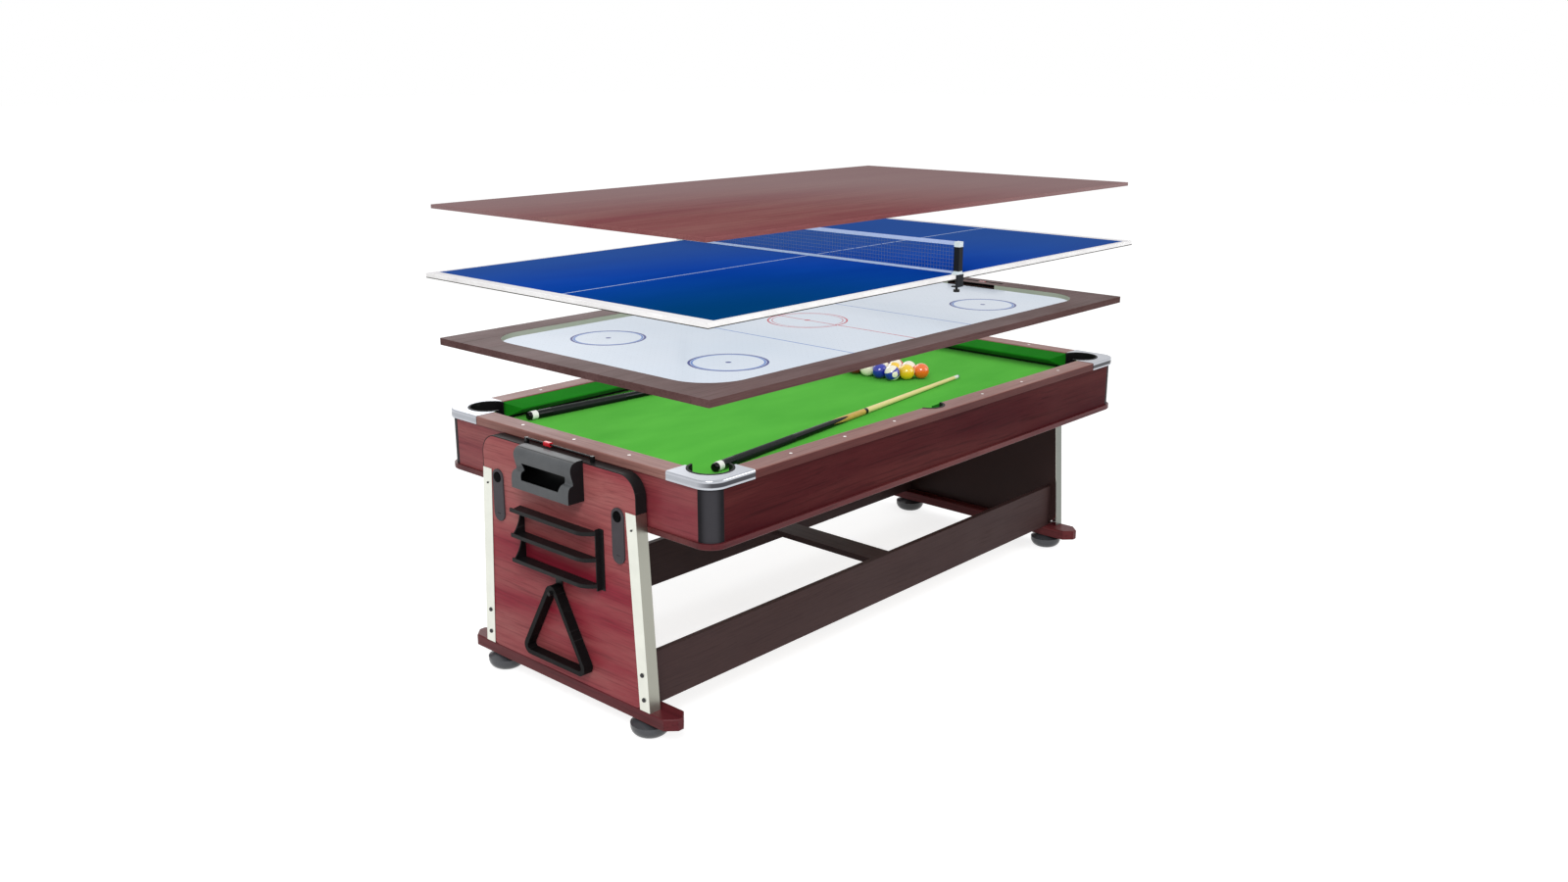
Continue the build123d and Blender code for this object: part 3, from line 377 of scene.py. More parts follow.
# Wood finishes
woodTones = {  # light, deep and dark, as screen colours
    "endPanel": ((160, 94, 92), (134, 34, 50), (74, 18, 28)),
    "panel": ((140, 74, 74), (114, 24, 42), (70, 16, 26)),
    "plank": ((98, 42, 44), (80, 18, 30), (42, 11, 16)),
    # The cherry laminate darkened as painted shade, for the aprons that look along Y
    "shadedSideApron": ((82, 36, 36), (62, 15, 21), (29, 8, 11)),
    "cherry": ((98, 44, 44), (78, 24, 30), (40, 12, 16)),
    # The rails' cherry laminate with a painted sheen that lightens and greys it
    "cherryRailSheen": ((146, 106, 98), (124, 80, 74), (90, 50, 50)),
    "brown": ((96, 71, 70), (81, 57, 55), (56, 35, 33)),
    "dining": ((134, 88, 86), (124, 68, 72), (88, 42, 46)),
    "stretcher": ((62, 43, 42), (56, 38, 38), (44, 29, 29)),
}
innerTone = tone(54, 38, 37)
paintedSheenTone = tone(150, 132, 132)
recessWallShadeTone = tone(164, 166, 160)
shadedTurnedClothTone = tone(10, 44, 12)
rubWidth = 0.0035


def cornerDistance(place, corner):
    # Distance from a corner seen from above, with lengths along X counted as 0.6 of themselves
    return calcVector("DISTANCE", stretched(place, (0.6, 1, 0)), (0.6 * corner[0], corner[1], 0))


def makeWood(name, tones, along="X", size=1.0, board=None, gloss=0.36, streakShare=0.45, shine=0.2, inner=None,
             recess=None, underRail=None, sheenFromCorner=None, sideShadeTint=None, hollow=None):
    # Printed laminate: light and deep tones mixed by the figure, dark streaks, fibres, rubbed edges and smudges
    material, tree, shader = newMaterial(name, Specular_IOR_Level=shine)
    place = objectPlace(tree)
    x, y, z = split(place)
    light, deep, dark = toneList(woodTones[tones])
    order = {"X": (x, y, z), "Y": (y, x, z), "Z": (z, x, y)}[along]
    grain = useGroup(laminateGrain, Place=join("ShaderNodeCombineXYZ", dict(enumerate(order)))[0], Size=size)
    wiped = useGroup(handling, Place=place, Size=1.0)
    colour = blend(times(grain["Streaks"], streakShare), blend(grain["Figure"], light, deep), dark)
    shade = spread(grain["Fibres"], 0.0, 1.0, 0.86, 1.08)
    colour = blend(1.0, colour, join("ShaderNodeCombineColor", {0: shade, 1: shade, 2: shade})[0], "MULTIPLY")
    if sheenFromCorner is not None:
        # Painted sheen: the board turns greyer with the distance from one corner
        away = cornerDistance(place, sheenFromCorner)
        colour = blend(spread(away, 0.3, 1.25, 0.0, 0.72, smooth=True), colour, paintedSheenTone)
    if board is not None:
        low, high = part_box(board)
        rub = useGroup(edgeRub, Place=place, Low=low, High=high, Width=rubWidth)["Rub"]
        colour = blend(times(rub, 0.45), colour, light)
    if inner is not None:
        # The side that faces the middle of the table: plain dark brown within half a millimetre of its plane
        colour = blend(step(absolute(minus(x, inner)), 0.0008, -0.0004), colour, innerTone)
    if recess is not None:
        # The walls of a recess: pale paint greyed with painted shade, within its half length and half width, from
        # its floor to its rim
        halfX, halfY, floor, rim = recess
        across = times(step(absolute(x), halfX + 0.0012, -0.0006), step(absolute(y), halfY + 0.0012, -0.0006))
        above = times(step(z, floor + 0.001, 0.001), step(z, rim - 0.0004, -0.0004))
        colour = blend(times(across, above), colour, recessWallShadeTone)
    if underRail is not None:
        # The block below the rail's board, behind the rubber: wrapped in turned-in cloth, painted dark green as the
        # shade under the rubber
        top, back = underRail
        across = absolute(y if along == "X" else x)
        colour = blend(times(step(z, top, -0.0005), step(across, back + 0.0045, -0.0005)), colour, shadedTurnedClothTone)
    if sideShadeTint is not None:
        # Painted shade: darker and redder where the board looks along Y
        colour = blend(spread(absolute(normalParts(tree)[1]), 0.7, 0.95), colour, sideShadeTint, "MULTIPLY")
    if hollow is not None:
        # Painted shade: the given dark tone on faces that don't look up
        colour = blend(spread(normalParts(tree)[2], 0.8, 0.6), colour, hollow)
    rough = plus(spread(wiped["Smudge"], 0.0, 1.0, gloss, gloss + 0.09), times(grain["Streaks"], 0.06))
    feed(shader, colour, rough, grain["Height"], 0.12, 0.0006)
    return material


def dress(nodeName, material):
    # Gives a CAD node one material in all its slots
    slots = nodes[nodeName].data.materials
    if not slots:
        slots.append(material)
    for number in range(len(slots)):
        slots[number] = material


fieldLow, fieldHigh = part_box("hockey_field")
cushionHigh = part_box("cushions")[1]
plank = {"tones": "plank", "along": "Y", "shine": 0.15}
endApron = {"tones": "panel", "along": "Y"}
shadedSideApron = {"tones": "shadedSideApron", "shine": 0.03}
endPanel = {"tones": "endPanel", "along": "Y", "board": None, "shine": 0.12}
stretcher = {"tones": "stretcher", "size": 1.2, "gloss": 0.5, "streakShare": 0.4, "shine": 0.15}
woodLooks = {
    "end_panel_near": {**endPanel, "inner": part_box("end_panel_near")[1][0]},
    "end_panel_far": {**endPanel, "inner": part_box("end_panel_far")[0][0]},
    "foot_plank_near": plank, "foot_plank_far": plank,
    "end_apron_near": endApron, "end_apron_far": endApron,
    "side_apron_front": shadedSideApron, "side_apron_back": shadedSideApron,
    "base_molding": {"tones": "cherry"},
    "long_rails": {"tones": "cherryRailSheen", "shine": 0.16, "underRail": (cushionHigh[2], cushionHigh[1]),
                   "sideShadeTint": (0.34, 0.15, 0.16, 1)},
    "end_rails": {"tones": "cherryRailSheen", "along": "Y", "shine": 0.16,
                  "underRail": (cushionHigh[2], cushionHigh[0])},
    "hockey_frame": {"tones": "brown", "shine": 0.03,
                     "recess": (*fieldHigh[:2], fieldLow[2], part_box("hockey_frame")[1][2])},
    # The hockey goals are painted near black as shade on their faces that don't look up
    "hockey_goals": {"tones": "brown", "board": None, "shine": 0.03, "hollow": tone(9, 8, 9)},
    # The dining board greys away from its low corner with a painted sheen
    "dining_board": {"tones": "dining", "size": 0.8, "gloss": 0.5, "streakShare": 0.4, "shine": 0.0,
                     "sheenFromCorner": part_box("dining_board")[0]},
    "stretcher_front": stretcher, "stretcher_back": stretcher, "cross_brace": {**stretcher, "along": "Y"},
}
for nodeName, look in woodLooks.items():
    dress(nodeName, makeWood(nodeName + "_wood", **{"board": nodeName, **look}))
print("wood dressed")


# Bare fibreboard for what is hidden inside
fibreLight, fibreDeep, fibreDark = toneList([(186, 154, 112), (150, 118, 84), (132, 104, 76)])


def makeFibreboard(name):
    # Pressed fibres: fine specks between two tans, under broad darker clouds
    material, tree, shader = newMaterial(name, Specular_IOR_Level=0.3)
    place = objectPlace(tree)
    specks = noise(place, 420.0, 4.0, 0.75)
    colour = blend(spread(specks, 0.3, 0.7), fibreDeep, fibreLight)
    colour = blend(spread(noise(place, 9.0, 3.0), 0.4, 0.7, 0.0, 0.4), colour, fibreDark)
    feed(shader, colour, spread(specks, 0.3, 0.7, 0.7, 0.85), specks, 0.3, 0.0006)
    return material


fibreboard = makeFibreboard("fibreboard")
for nodeName in ("bottom_panel", "bed_bearers", "playing_bed"):
    dress(nodeName, fibreboard)


# Plastics, rubber and metal
hairlineTone = (0.3, 0.3, 0.3, 1)
footShadeBandTone = tone(58, 56, 50)
hollowShadeTone = tone(9, 9, 10)
darkReflectionTone = tone(34, 33, 38)


def makePlastic(name, colour, rough, grain=1500.0, bump=0.1, coat=0.0, shine=0.15, diagonal=None, hollow=None,
                sideTone=None, footBand=None):
    # Moulded plastic: one colour with a slight unevenness, pebbled skin, hairlines and smudges in the gloss
    material, tree, shader = newMaterial(name, Specular_IOR_Level=shine, Coat_Weight=coat, Coat_Roughness=0.12)
    place = objectPlace(tree)
    skin = useGroup(mouldedSkin, Place=place, Grain=grain)
    wiped = useGroup(handling, Place=place, Size=2.5)
    colour = tone(*colour)
    lighter = tuple(min(1.0, c * 1.35 + 0.002) for c in colour[:3]) + (1.0,)
    mixed = blend(times(skin["Uneven"], 0.5), colour, lighter)
    mixed = blend(times(wiped["Hairlines"], 0.06), mixed, hairlineTone)
    if diagonal is not None:
        # Painted highlight: a rounded corner is paler along the middle of its curve, where it faces X and Y alike
        normal = normalParts(tree)
        facing = times(absolute(normal[0]), absolute(normal[1]))
        mixed = blend(spread(facing, 0.12, 0.5, smooth=True), mixed, tone(*diagonal))
    if sideTone is not None:
        # Painted light: faces that look along Y take the side tone, and the others keep the lighter colour as a
        # painted sheen
        mixed = blend(spread(absolute(normalParts(tree)[1]), 0.7, 0.9), mixed, tone(*sideTone))
    if footBand is not None:
        # Painted shade: a darker lower edge, up to a height
        mixed = blend(step(split(place)[2], footBand, -0.0004), mixed, footShadeBandTone)
    if hollow is not None:
        # Painted shade: the inside of a housing is near black within its box, given as the middle, the half size
        # and the side
        middle, half, side = hollow
        away = calcVector("ABSOLUTE", calcVector("SUBTRACT", stretched(place, (side, 1, 1)), middle))
        insideX, insideY, insideZ = split(calcVector("SUBTRACT", half, away))
        mixed = blend(step(smaller(smaller(insideX, insideY), insideZ), 0.0, 0.0004), mixed, hollowShadeTone)
    feed(shader, mixed, spread(wiped["Smudge"], 0.0, 1.0, rough, rough + 0.1), skin["Height"], bump, 0.0003)
    return material


def goalHollowShade(end):
    # The part of a goal box that lies behind its curved front, painted near black as shade: from its back to 30 mm
    # before it, inside its walls
    low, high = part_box("goal_box_" + end)
    back = min(abs(low[0]), abs(high[0]))
    middle = (back + 0.016, 0, (low[2] + high[2]) / 2)
    half = (0.0165, high[1] - 0.0015, (high[2] - low[2]) / 2 - 0.0015)
    return middle, half, -1 if end == "near" else 1


fourCorners = [f"{end}_{side}" for end in ("near", "far") for side in ("front", "back")]
# The goal boxes are black plastic, painted mid grey as a sheen except where they look along Y
goalSheenGrey = {"colour": (80, 82, 84), "rough": 0.36, "sideTone": (20, 21, 23)}
glossy = {"grain": 2200.0, "bump": 0.05}
plastics = {
    "blackSatin": (("panel_edging", "accessory_rack"), {"colour": (19, 18, 19), "rough": 0.4}),
    # The corner posts' paler middle is a painted highlight
    "greyPost": (("corner_posts",), {"colour": (26, 25, 28), "rough": 0.36, "shine": 0.05,
                                     "diagonal": (58, 57, 61)}),
    "goalNear": (("goal_box_near",), {**goalSheenGrey, "hollow": goalHollowShade("near")}),
    "goalFar": (("goal_box_far",), {**goalSheenGrey, "hollow": goalHollowShade("far")}),
    "blackMatt": (("triangle_rack", "pocket_cups", "pocket_liners", "hockey_scorer"),
                  {"colour": (9, 8, 9), "rough": 0.5, "grain": 1100.0, "bump": 0.16, "shine": 0.1}),
    "greyPlate": (("lock_plates",), {"colour": (62, 58, 62), "rough": 0.45}),
    "blackRubber": (["levelling_foot_" + corner for corner in fourCorners],
                    {"colour": (62, 64, 68), "rough": 0.22, "grain": 900.0, "bump": 0.12, "shine": 0.5}),
    "redSlider": (("score_slider_near", "score_slider_far", "hockey_score_slider"),
                  {"colour": (190, 28, 40), "rough": 0.25, **glossy, "coat": 0.4}),
    "pearl": (("rail_sights",), {"colour": (232, 226, 222), "rough": 0.18, "grain": 2500.0, "bump": 0.04,
                                 "coat": 0.5}),
    "whiteEdge": (("tennis_edging",), {"colour": (228, 226, 226), "rough": 0.35, "grain": 1800.0, "bump": 0.06,
                                       "footBand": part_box("tennis_edging")[0][2] + 0.003}),
    "blackGloss": (("score_rails", "net_clamp_screw_front", "net_clamp_screw_back"),
                   {"colour": (12, 12, 13), "rough": 0.25, **glossy, "coat": 0.1, "shine": 0.2}),
    "pinBlack": (["lock_pin_" + corner for corner in fourCorners],
                 {"colour": (3, 3, 4), "rough": 0.5, **glossy, "shine": 0.02}),
}


def makeMetal(name, colour, rough, stretch, topRough=None, bands=None, sideTone=None):
    # Polished or brushed metal: noise drawn out along the brushing direction in the roughness and the height.
    # topRough is the roughness of faces that look up; bands are the low and high ends of a dark stripe round the
    # sides, a painted reflection; the side tone, a painted shade, is the colour of faces that look along Y
    material, tree, shader = newMaterial(name, Metallic=1.0)
    place = objectPlace(tree)
    lines = noise(stretched(place, stretch), 1.0, 3.0, 0.6)
    wiped = useGroup(handling, Place=place, Size=4.0)
    colour = tone(*colour)
    darker = tuple(c * 0.82 for c in colour[:3]) + (1.0,)
    mixed = blend(times(wiped["Smudge"], 0.35), colour, darker)
    rougher = plus(spread(lines, 0.3, 0.7, rough, rough + 0.08), times(wiped["Hairlines"], 0.1))
    normal = normalParts(tree)
    if topRough is not None:
        rougher = plus(rougher, times(spread(normal[2], 0.6, 0.95), topRough - rough))
    # Painted reflection: a dark stripe round the sides, between the two band heights
    if bands is not None:
        height = split(place)[2]
        stripe = times(spread(height, bands[0], bands[0] + 0.003, smooth=True),
                       spread(height, bands[1], bands[1] - 0.003, smooth=True))
        sideways = spread(absolute(normal[1]), 0.1, 0.75, 0.2, 1.0)
        dim = times(times(stripe, spread(normal[2], 0.5, 0.2)), sideways)
        mixed = blend(times(dim, 0.9), mixed, darkReflectionTone)
    if sideTone is not None:
        # Painted shade: faces that look along Y take the darker side tone
        mixed = blend(spread(absolute(normal[1]), 0.6, 0.8), mixed, tone(*sideTone))
    feed(shader, mixed, rougher, lines, 0.04, 0.0003)
    return material


capLow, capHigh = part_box("corner_caps")
brushed = {"colour": (224, 226, 216), "rough": 0.3, "stretch": (900, 900, 12)}
metals = {
    "capChrome": (("corner_caps",), {"colour": (184, 187, 194), "rough": 0.1, "stretch": (60, 60, 60),
                                     "topRough": 0.34, "bands": (capLow[2] + 0.004, capHigh[2] - 0.007)}),
    # The trims' faces along Y are darker as painted shade, darker still on the far legs
    "trimAluminium": (("leg_trims_near",), {**brushed, "sideTone": (158, 158, 148)}),
    "trimFar": (("leg_trims_far",), {**brushed, "sideTone": (126, 130, 124)}),
    "blackSteel": (("frame_screws",), {"colour": (60, 60, 62), "rough": 0.35, "stretch": (300, 300, 300)}),
}
for make, finishes in ((makePlastic, plastics), (makeMetal, metals)):
    for finish, (nodeNames, values) in finishes.items():
        material = make(finish, **values)
        for nodeName in nodeNames:
            dress(nodeName, material)

# Net posts, with the ends of their bands as depths below their top
netPosts = {"capEnd": 0.016, "footStart": 0.0904, "footEnd": 0.1, "black": (14, 18, 26), "light": (206, 216, 222)}


def makePostFinish(values):
    # Net posts: black, with a light cap and a light foot, told apart by height
    material, tree, shader = newMaterial("netPostPaint", Specular_IOR_Level=0.1)
    place = objectPlace(tree)
    skin = useGroup(mouldedSkin, Place=place, Grain=1500.0)
    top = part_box("net_posts")[1][2]
    height = split(place)[2]
    cap = step(height, top - values["capEnd"] - 0.0002, 0.0004)
    foot = step(height, top - values["footStart"] + 0.0002, -0.0004)
    clamp = step(height, top - values["footEnd"] - 0.0005, 0.001)
    colour = blend(larger(cap, times(foot, clamp)), tone(*values["black"]), tone(*values["light"]))
    feed(shader, colour, spread(skin["Uneven"], 0.0, 1.0, 0.3, 0.4), skin["Height"], 0.08, 0.0003)
    return material


dress("net_posts", makePostFinish(netPosts))
print("plastic and metal dressed")


# Printed tops: a thin printed face on fibreboard; each ring is its radius, its width and its ink
printDepth = 0.0006
hockeyPrint = {"spot": (0.658, 0.269, 0), "blueLineX": 0.31, "lineWidth": 0.006, "holePitch": 0.025,
               "holeRadius": 0.0008, "sheet": ((209, 217, 228), (200, 211, 224)), "hole": (110, 118, 128),
               "blue": (96, 128, 190), "navy": (54, 62, 128), "red": (186, 70, 84),
               "spotRings": [(0.117, 0.0075, "navy"), (0.1085, 0.0065, "blue"), (0.0, 0.018, "navy")],
               "centreRings": [(0.135, 0.006, "red"), (0.121, 0.003, "red"), (0.0, 0.02, "red")]}


def makeHockeyPrint(values):
    # White gloss sheet with printed lines: rings round four spots, a red centre, and lines across it
    material, tree, shader = newMaterial("hockeyPrint", Specular_IOR_Level=0.02)
    place = objectPlace(tree)
    x, y, z = split(place)
    mirrored = join("ShaderNodeCombineXYZ", {0: absolute(x), 1: absolute(y)})[0]
    inks = {name: tone(*values[name]) for name in ("blue", "navy", "red", "hole")}
    cloud = spread(noise(place, 1.6, 2.0), 0.35, 0.65)
    colour = blend(cloud, *toneList(values["sheet"]))
    for where, centre, rings in ((mirrored, values["spot"], "spotRings"), (place, (0, 0, 0), "centreRings")):
        for radius, width, ink in values[rings]:
            mask = useGroup(printedRing, Place=where, Centre=centre, Radius=radius, Width=width)["Mask"]
            colour = blend(mask, colour, inks[ink])
    for value, lineX, ink in ((x, 0.0, "red"), (absolute(x), values["blueLineX"], "blue")):
        mask = useGroup(printedStrip, Value=value, Middle=lineX, Width=values["lineWidth"])["Mask"]
        colour = blend(mask, colour, inks[ink])
    pitch = values["holePitch"]
    holeShare = values["holeRadius"] / pitch
    cell = calcVector("FRACTION", stretched(place, (1 / pitch, 1 / pitch, 0)))
    cell = calcVector("SUBTRACT", cell, (0.5, 0.5, 0))
    hole = step(calcVector("LENGTH", stretched(cell, (1, 1, 0))), holeShare + 0.01, -0.01)
    colour = blend(times(hole, 0.7), colour, inks["hole"])
    colour = blend(step(z, fieldHigh[2] - printDepth, 0.0002), fibreLight, colour)
    wiped = useGroup(handling, Place=place, Size=2.0)
    feed(shader, colour, spread(wiped["Smudge"], 0.0, 1.0, 0.16, 0.26), times(hole, -1.0), 0.5, 0.0006)
    return material


tennisPrint = {"border": 0.034, "centreLine": 0.005, "sideLine": 0.014, "paint": ((14, 68, 166), (8, 56, 152)),
               "nearShadePaint": (0, 58, 98), "farSheenPaint": (50, 84, 148), "speck": (30, 84, 178),
               "thinLine": (188, 204, 228), "wideLine": (228, 226, 228)}


def makeTennisPrint(values):
    # Blue painted board: a white border just inside the edging, a thin line along its middle, fibreboard below
    material, tree, shader = newMaterial("tennisPaint", Specular_IOR_Level=0.0)
    place = objectPlace(tree)
    x, y, z = split(place)
    low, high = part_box("tennis_board")
    border = larger(step(minus(high[0], absolute(x)), values["border"] + 0.0005, -0.001),
                    step(minus(high[1], absolute(y)), values["sideLine"] + 0.0005, -0.001))
    middle = useGroup(printedStrip, Value=y, Middle=0.0, Width=values["centreLine"])["Mask"]
    cloud = spread(noise(stretched(place, (1, 2.5, 1)), 1.4, 3.0), 0.32, 0.68)
    specks = noise(place, 900.0, 2.0)
    # Painted light: the paint is darker and more teal towards the low corner as painted shade, and greyer far from
    # it as a painted sheen
    corner = cornerDistance(place, low)
    near, far = spread(corner, 0.85, 0.1, 0.0, 0.85, smooth=True), spread(corner, 0.62, 1.3, 0.0, 0.8, smooth=True)
    colour = blend(cloud, *toneList(values["paint"]))
    for mask, paint in ((near, "nearShadePaint"), (far, "farSheenPaint"), (spread(specks, 0.62, 0.75, 0.0, 0.25), "speck"),
                        (middle, "thinLine"), (border, "wideLine")):
        colour = blend(mask, colour, tone(*values[paint]))
    colour = blend(step(z, high[2] - printDepth, 0.0002), fibreDeep, colour)
    wiped = useGroup(handling, Place=place, Size=1.5)
    feed(shader, colour, spread(wiped["Smudge"], 0.0, 1.0, 0.5, 0.6), specks, 0.12, 0.0004)
    return material


dress("hockey_field", makeHockeyPrint(hockeyPrint))
dress("tennis_board", makeTennisPrint(tennisPrint))
print("printed tops dressed")


# Mesh helpers
def gridFaces(rows, columns, wrapRows=False, wrapColumns=False):
    # Four corner numbers of each cell of a grid, with a wrapped side joined to its first line
    first = np.arange(rows if wrapRows else rows - 1)
    second = np.arange(columns if wrapColumns else columns - 1)
    a, b = np.meshgrid(first, second, indexing="ij")
    nextA, nextB = (a + 1) % rows, (b + 1) % columns
    corners = [a * columns + b, nextA * columns + b, nextA * columns + nextB, a * columns + nextB]
    return np.stack(corners, axis=-1).reshape(-1, 4)


def cleanMesh(mesh, weld=0.0):
    # Joins points closer than the weld distance, turns the faces outwards and cuts up those of over four corners
    work = bmesh.new()
    work.from_mesh(mesh)
    if weld:
        bmesh.ops.remove_doubles(work, verts=work.verts, dist=weld)
    bmesh.ops.recalc_face_normals(work, faces=work.faces)
    bmesh.ops.triangulate(work, faces=[face for face in work.faces if len(face.verts) > 4])
    work.to_mesh(mesh)
    work.free()


def placePiece(name, mesh, material, body, replaced=()):
    mesh.materials.append(material)
    piece = bpy.data.objects.new(name, mesh)
    bpy.context.collection.objects.link(piece)
    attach(piece, body)
    if replaced:
        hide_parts(*replaced)
    return piece


def addPiece(name, grids, material, body, marks=None, replaced=(), sharpAngle=None):
    # One mesh from grids of points, each (points, wrapRows, wrapColumns); marks are arrays of values per point
    points, faces, start = [], [], 0
    for grid, wrapRows, wrapColumns in grids:
        points.append(grid.reshape(-1, 3))
        faces.append(gridFaces(*grid.shape[:2], wrapRows, wrapColumns) + start)
        start += grid.shape[0] * grid.shape[1]
    mesh = bpy.data.meshes.new(name)
    mesh.from_pydata(np.concatenate(points).tolist(), [], np.concatenate(faces).tolist())
    for markName, values in (marks or {}).items():
        width = 1 if values.ndim == 1 else values.shape[1]
        kind, field = {1: ("FLOAT", "value"), 3: ("FLOAT_VECTOR", "vector"), 4: ("FLOAT_COLOR", "color")}[width]
        layer = mesh.attributes.new(markName, kind, "POINT")
        layer.data.foreach_set(field, values.astype(np.float32).ravel())
    cleanMesh(mesh, 1e-6)
    mesh.polygons.foreach_set("use_smooth", [True] * len(mesh.polygons))
    if sharpAngle is not None:
        mesh.set_sharp_from_angle(angle=math.radians(sharpAngle))
    return placePiece(name, mesh, material, body, replaced)


def revolved(profile, start, axis, around=48):
    # Pairs of (distance along, radius) turned about an axis: start + along * axis + radius * (cos, sin) across it
    along, radius = np.array(profile, float).T
    axis = np.array(axis, float) / np.linalg.norm(axis)
    side = np.cross(axis, (0, 0, 1) if abs(axis[2]) < 0.9 else (1, 0, 0))
    side /= np.linalg.norm(side)
    up = np.cross(side, axis)
    angle = np.linspace(0, 2 * math.pi, around, endpoint=False)
    ring = np.cos(angle)[:, None] * side + np.sin(angle)[:, None] * up
    return np.array(start, float) + along[:, None, None] * axis + radius[:, None, None] * ring


# Cues: where they lie and how far they rise sideways, where their parts start from the butt, and their tones
cueShape = {"length": 1.450, "buttRadius": 0.0145, "tipRadius": 0.0065,
            "front": ((-0.852, -0.398), 0.175), "back": ((-0.852, 0.455), -0.100), "gap": 0.0003, "groove": 0.0002,
            "bumper": [0, 0.0095, 0.0112, 0.0126, 0.0130, 0.0128, 0.0141], "tipShares": [1, 0.98, 0.8, 0.45, 0]}
cueParts = {"ring": 0.0125, "butt": 0.034, "wrap": 0.09, "wrapEnd": 0.39, "splice": 0.60, "splicePoint": 0.09,
            "collar": 0.796, "shaft": 0.812, "ferrule": 1.415, "leather": 1.4405, "seam": 0.0005}
cueTones = {"rubber": (10, 10, 11), "white": (226, 226, 222), "black": (9, 15, 14), "wrap": (26, 32, 31),
            "arm": ((198, 164, 82), (140, 98, 40)), "shaft": ((228, 214, 150), (208, 188, 120)),
            "leather": (70, 96, 128)}


def makeCueFinish(parts, tones):
    # Lacquered cue: rubber, white ring, black butt with a wrap, spliced forearm, collar, pale shaft, ferrule, tip
    material, tree, shader = newMaterial("cueLacquer", Specular_IOR_Level=0.12, Coat_Weight=0.06,
                                         Coat_Roughness=0.12)
    along = attribute(tree, "cueAlong")
    turn = attribute(tree, "cueTurn")
    grain = useGroup(laminateGrain, Place=objectPlace(tree), Size=3.0)
    shaft = blend(times(grain["Fibres"], 0.5), *toneList(tones["shaft"]))
    arm = blend(times(grain["Streaks"], 0.6), *toneList(tones["arm"]))
    points = times(absolute(calc("SINE", times(turn, 2.0))), parts["splicePoint"])
    colour, white, black, leather = toneList(tones[part] for part in ("rubber", "white", "black", "leather"))
    weave = calc("SINE", times(along, 2600.0))
    wrap = blend(spread(weave, -1.0, 1.0, 0.0, 0.5), black, tone(*tones["wrap"]))
    for part, finish in (("ring", white), ("butt", black), ("wrap", wrap), ("wrapEnd", black)):
        colour = blend(step(along, parts[part]), colour, finish)
    colour = blend(step(minus(along, plus(parts["splice"], points)), 0.0, 0.0008), colour, arm)
    for part, finish in (("collar", black), ("shaft", shaft), ("ferrule", white), ("leather", leather)):
        colour = blend(step(along, parts[part]), colour, finish)
    isWrap = times(step(along, parts["wrap"]), step(along, parts["wrapEnd"] + 0.0005, -0.0005))
    feed(shader, colour, spread(isWrap, 0.0, 1.0, 0.22, 0.55), times(weave, isWrap), 0.4, 0.0004)
    return material


def makeCue(name, place, rise, body, node, material):
    # A turned stick: the radius falls in a straight line from butt to tip, but for the rounded bumper and leather
    length, thick, thin = cueShape["length"], cueShape["buttRadius"], cueShape["tipRadius"]
    ring, butt, collar, shaft, ferrule, leather, seam = (
        cueParts[part] for part in ("ring", "butt", "collar", "shaft", "ferrule", "leather", "seam"))
    run = math.sqrt(length ** 2 - rise ** 2 - (thick - thin) ** 2)
    start = (*place, clothTop + cueShape["gap"] + thick)
    along = np.concatenate([
        [0, 0, 0.0006, 0.003, ring - seam, ring, ring + seam], np.linspace(ring + 0.0035, butt - 0.001, 4),
        [butt, butt + seam], np.linspace(butt + 0.016, collar - 0.011, 66),
        [collar - seam, collar, (collar + shaft) / 2, shaft, shaft + seam],
        np.linspace(shaft + 0.013, ferrule - 0.005, 54), [ferrule, ferrule + seam, leather - seam, leather],
        [length - 0.004, length - 0.001, length, length]])
    radius = thick + (thin - thick) * along / length
    radius[:7] = cueShape["bumper"]
    radius[-5:] = thin * np.array(cueShape["tipShares"])
    radius[along == butt + seam] -= cueShape["groove"]
    grid = revolved(np.stack([along, radius], axis=1), start, (run, rise, thin - thick))
    turn = np.broadcast_to(np.linspace(0, 2 * math.pi, grid.shape[1], endpoint=False), grid.shape[:2])
    marks = {"cueAlong": np.repeat(along, grid.shape[1]), "cueTurn": turn.ravel()}
    return addPiece(name, [(grid, False, True)], material, body, marks, replaced=(node,))


cueFinish = makeCueFinish(cueParts, cueTones)
for side in ("front", "back"):
    makeCue(side + "_cue_stick", *cueShape[side], side + "_cue", "cue_" + side, cueFinish)
print("cues made")


# Balls: the tones are those of eight whole ones, seven striped ones and a white one, numbered from 1; the rows
# hold fifteen of them, and the poles are the axes of those given a turn one by one
ballWhite = (238, 232, 212)
ballTones = [(240, 196, 30), (28, 40, 160), (196, 30, 34), (70, 30, 120), (240, 110, 30), (20, 110, 60),
             (120, 20, 34)]
ballSet = {"radius": 0.0285, "gap": 0.0003, "firstRow": 0.38868, "sideShift": 0.045, "seed": 7,
           "tones": [*ballTones, (24, 24, 26), *ballTones, ballWhite],
           "rows": [[10, 2, 16, 7, 14], [1, 9, 15, 6, 3], [5, 13, 11, 4, 8]],
           "poles": {10: (-0.42, 0.23, 0.88), 9: (-0.65, 0.76, 0.1), 2: (-0.7, -0.6, 0.35), 1: (-0.7, -0.6, 0.3),
                     5: (-0.6, -0.7, 0.3), 7: (-0.7, -0.6, 0.3)}}


def makeBallFinish():
    # Polished resin: whole balls in one colour, striped ones white beyond half the radius, all with two white spots
    material, tree, shader = newMaterial("ballResin", Roughness=0.06, Coat_Weight=0.6, Coat_Roughness=0.02)
    x, y, z = split(calcVector("NORMALIZE", attribute(tree, "ballLocal", "Vector")))
    outside = times(spread(absolute(z), 0.52, 0.54), attribute(tree, "ballStriped"))
    spot = spread(absolute(x), 0.915, 0.925)
    feed(shader, blend(larger(outside, spot), attribute(tree, "ballTint", "Color"), tone(*ballWhite)))
    return material


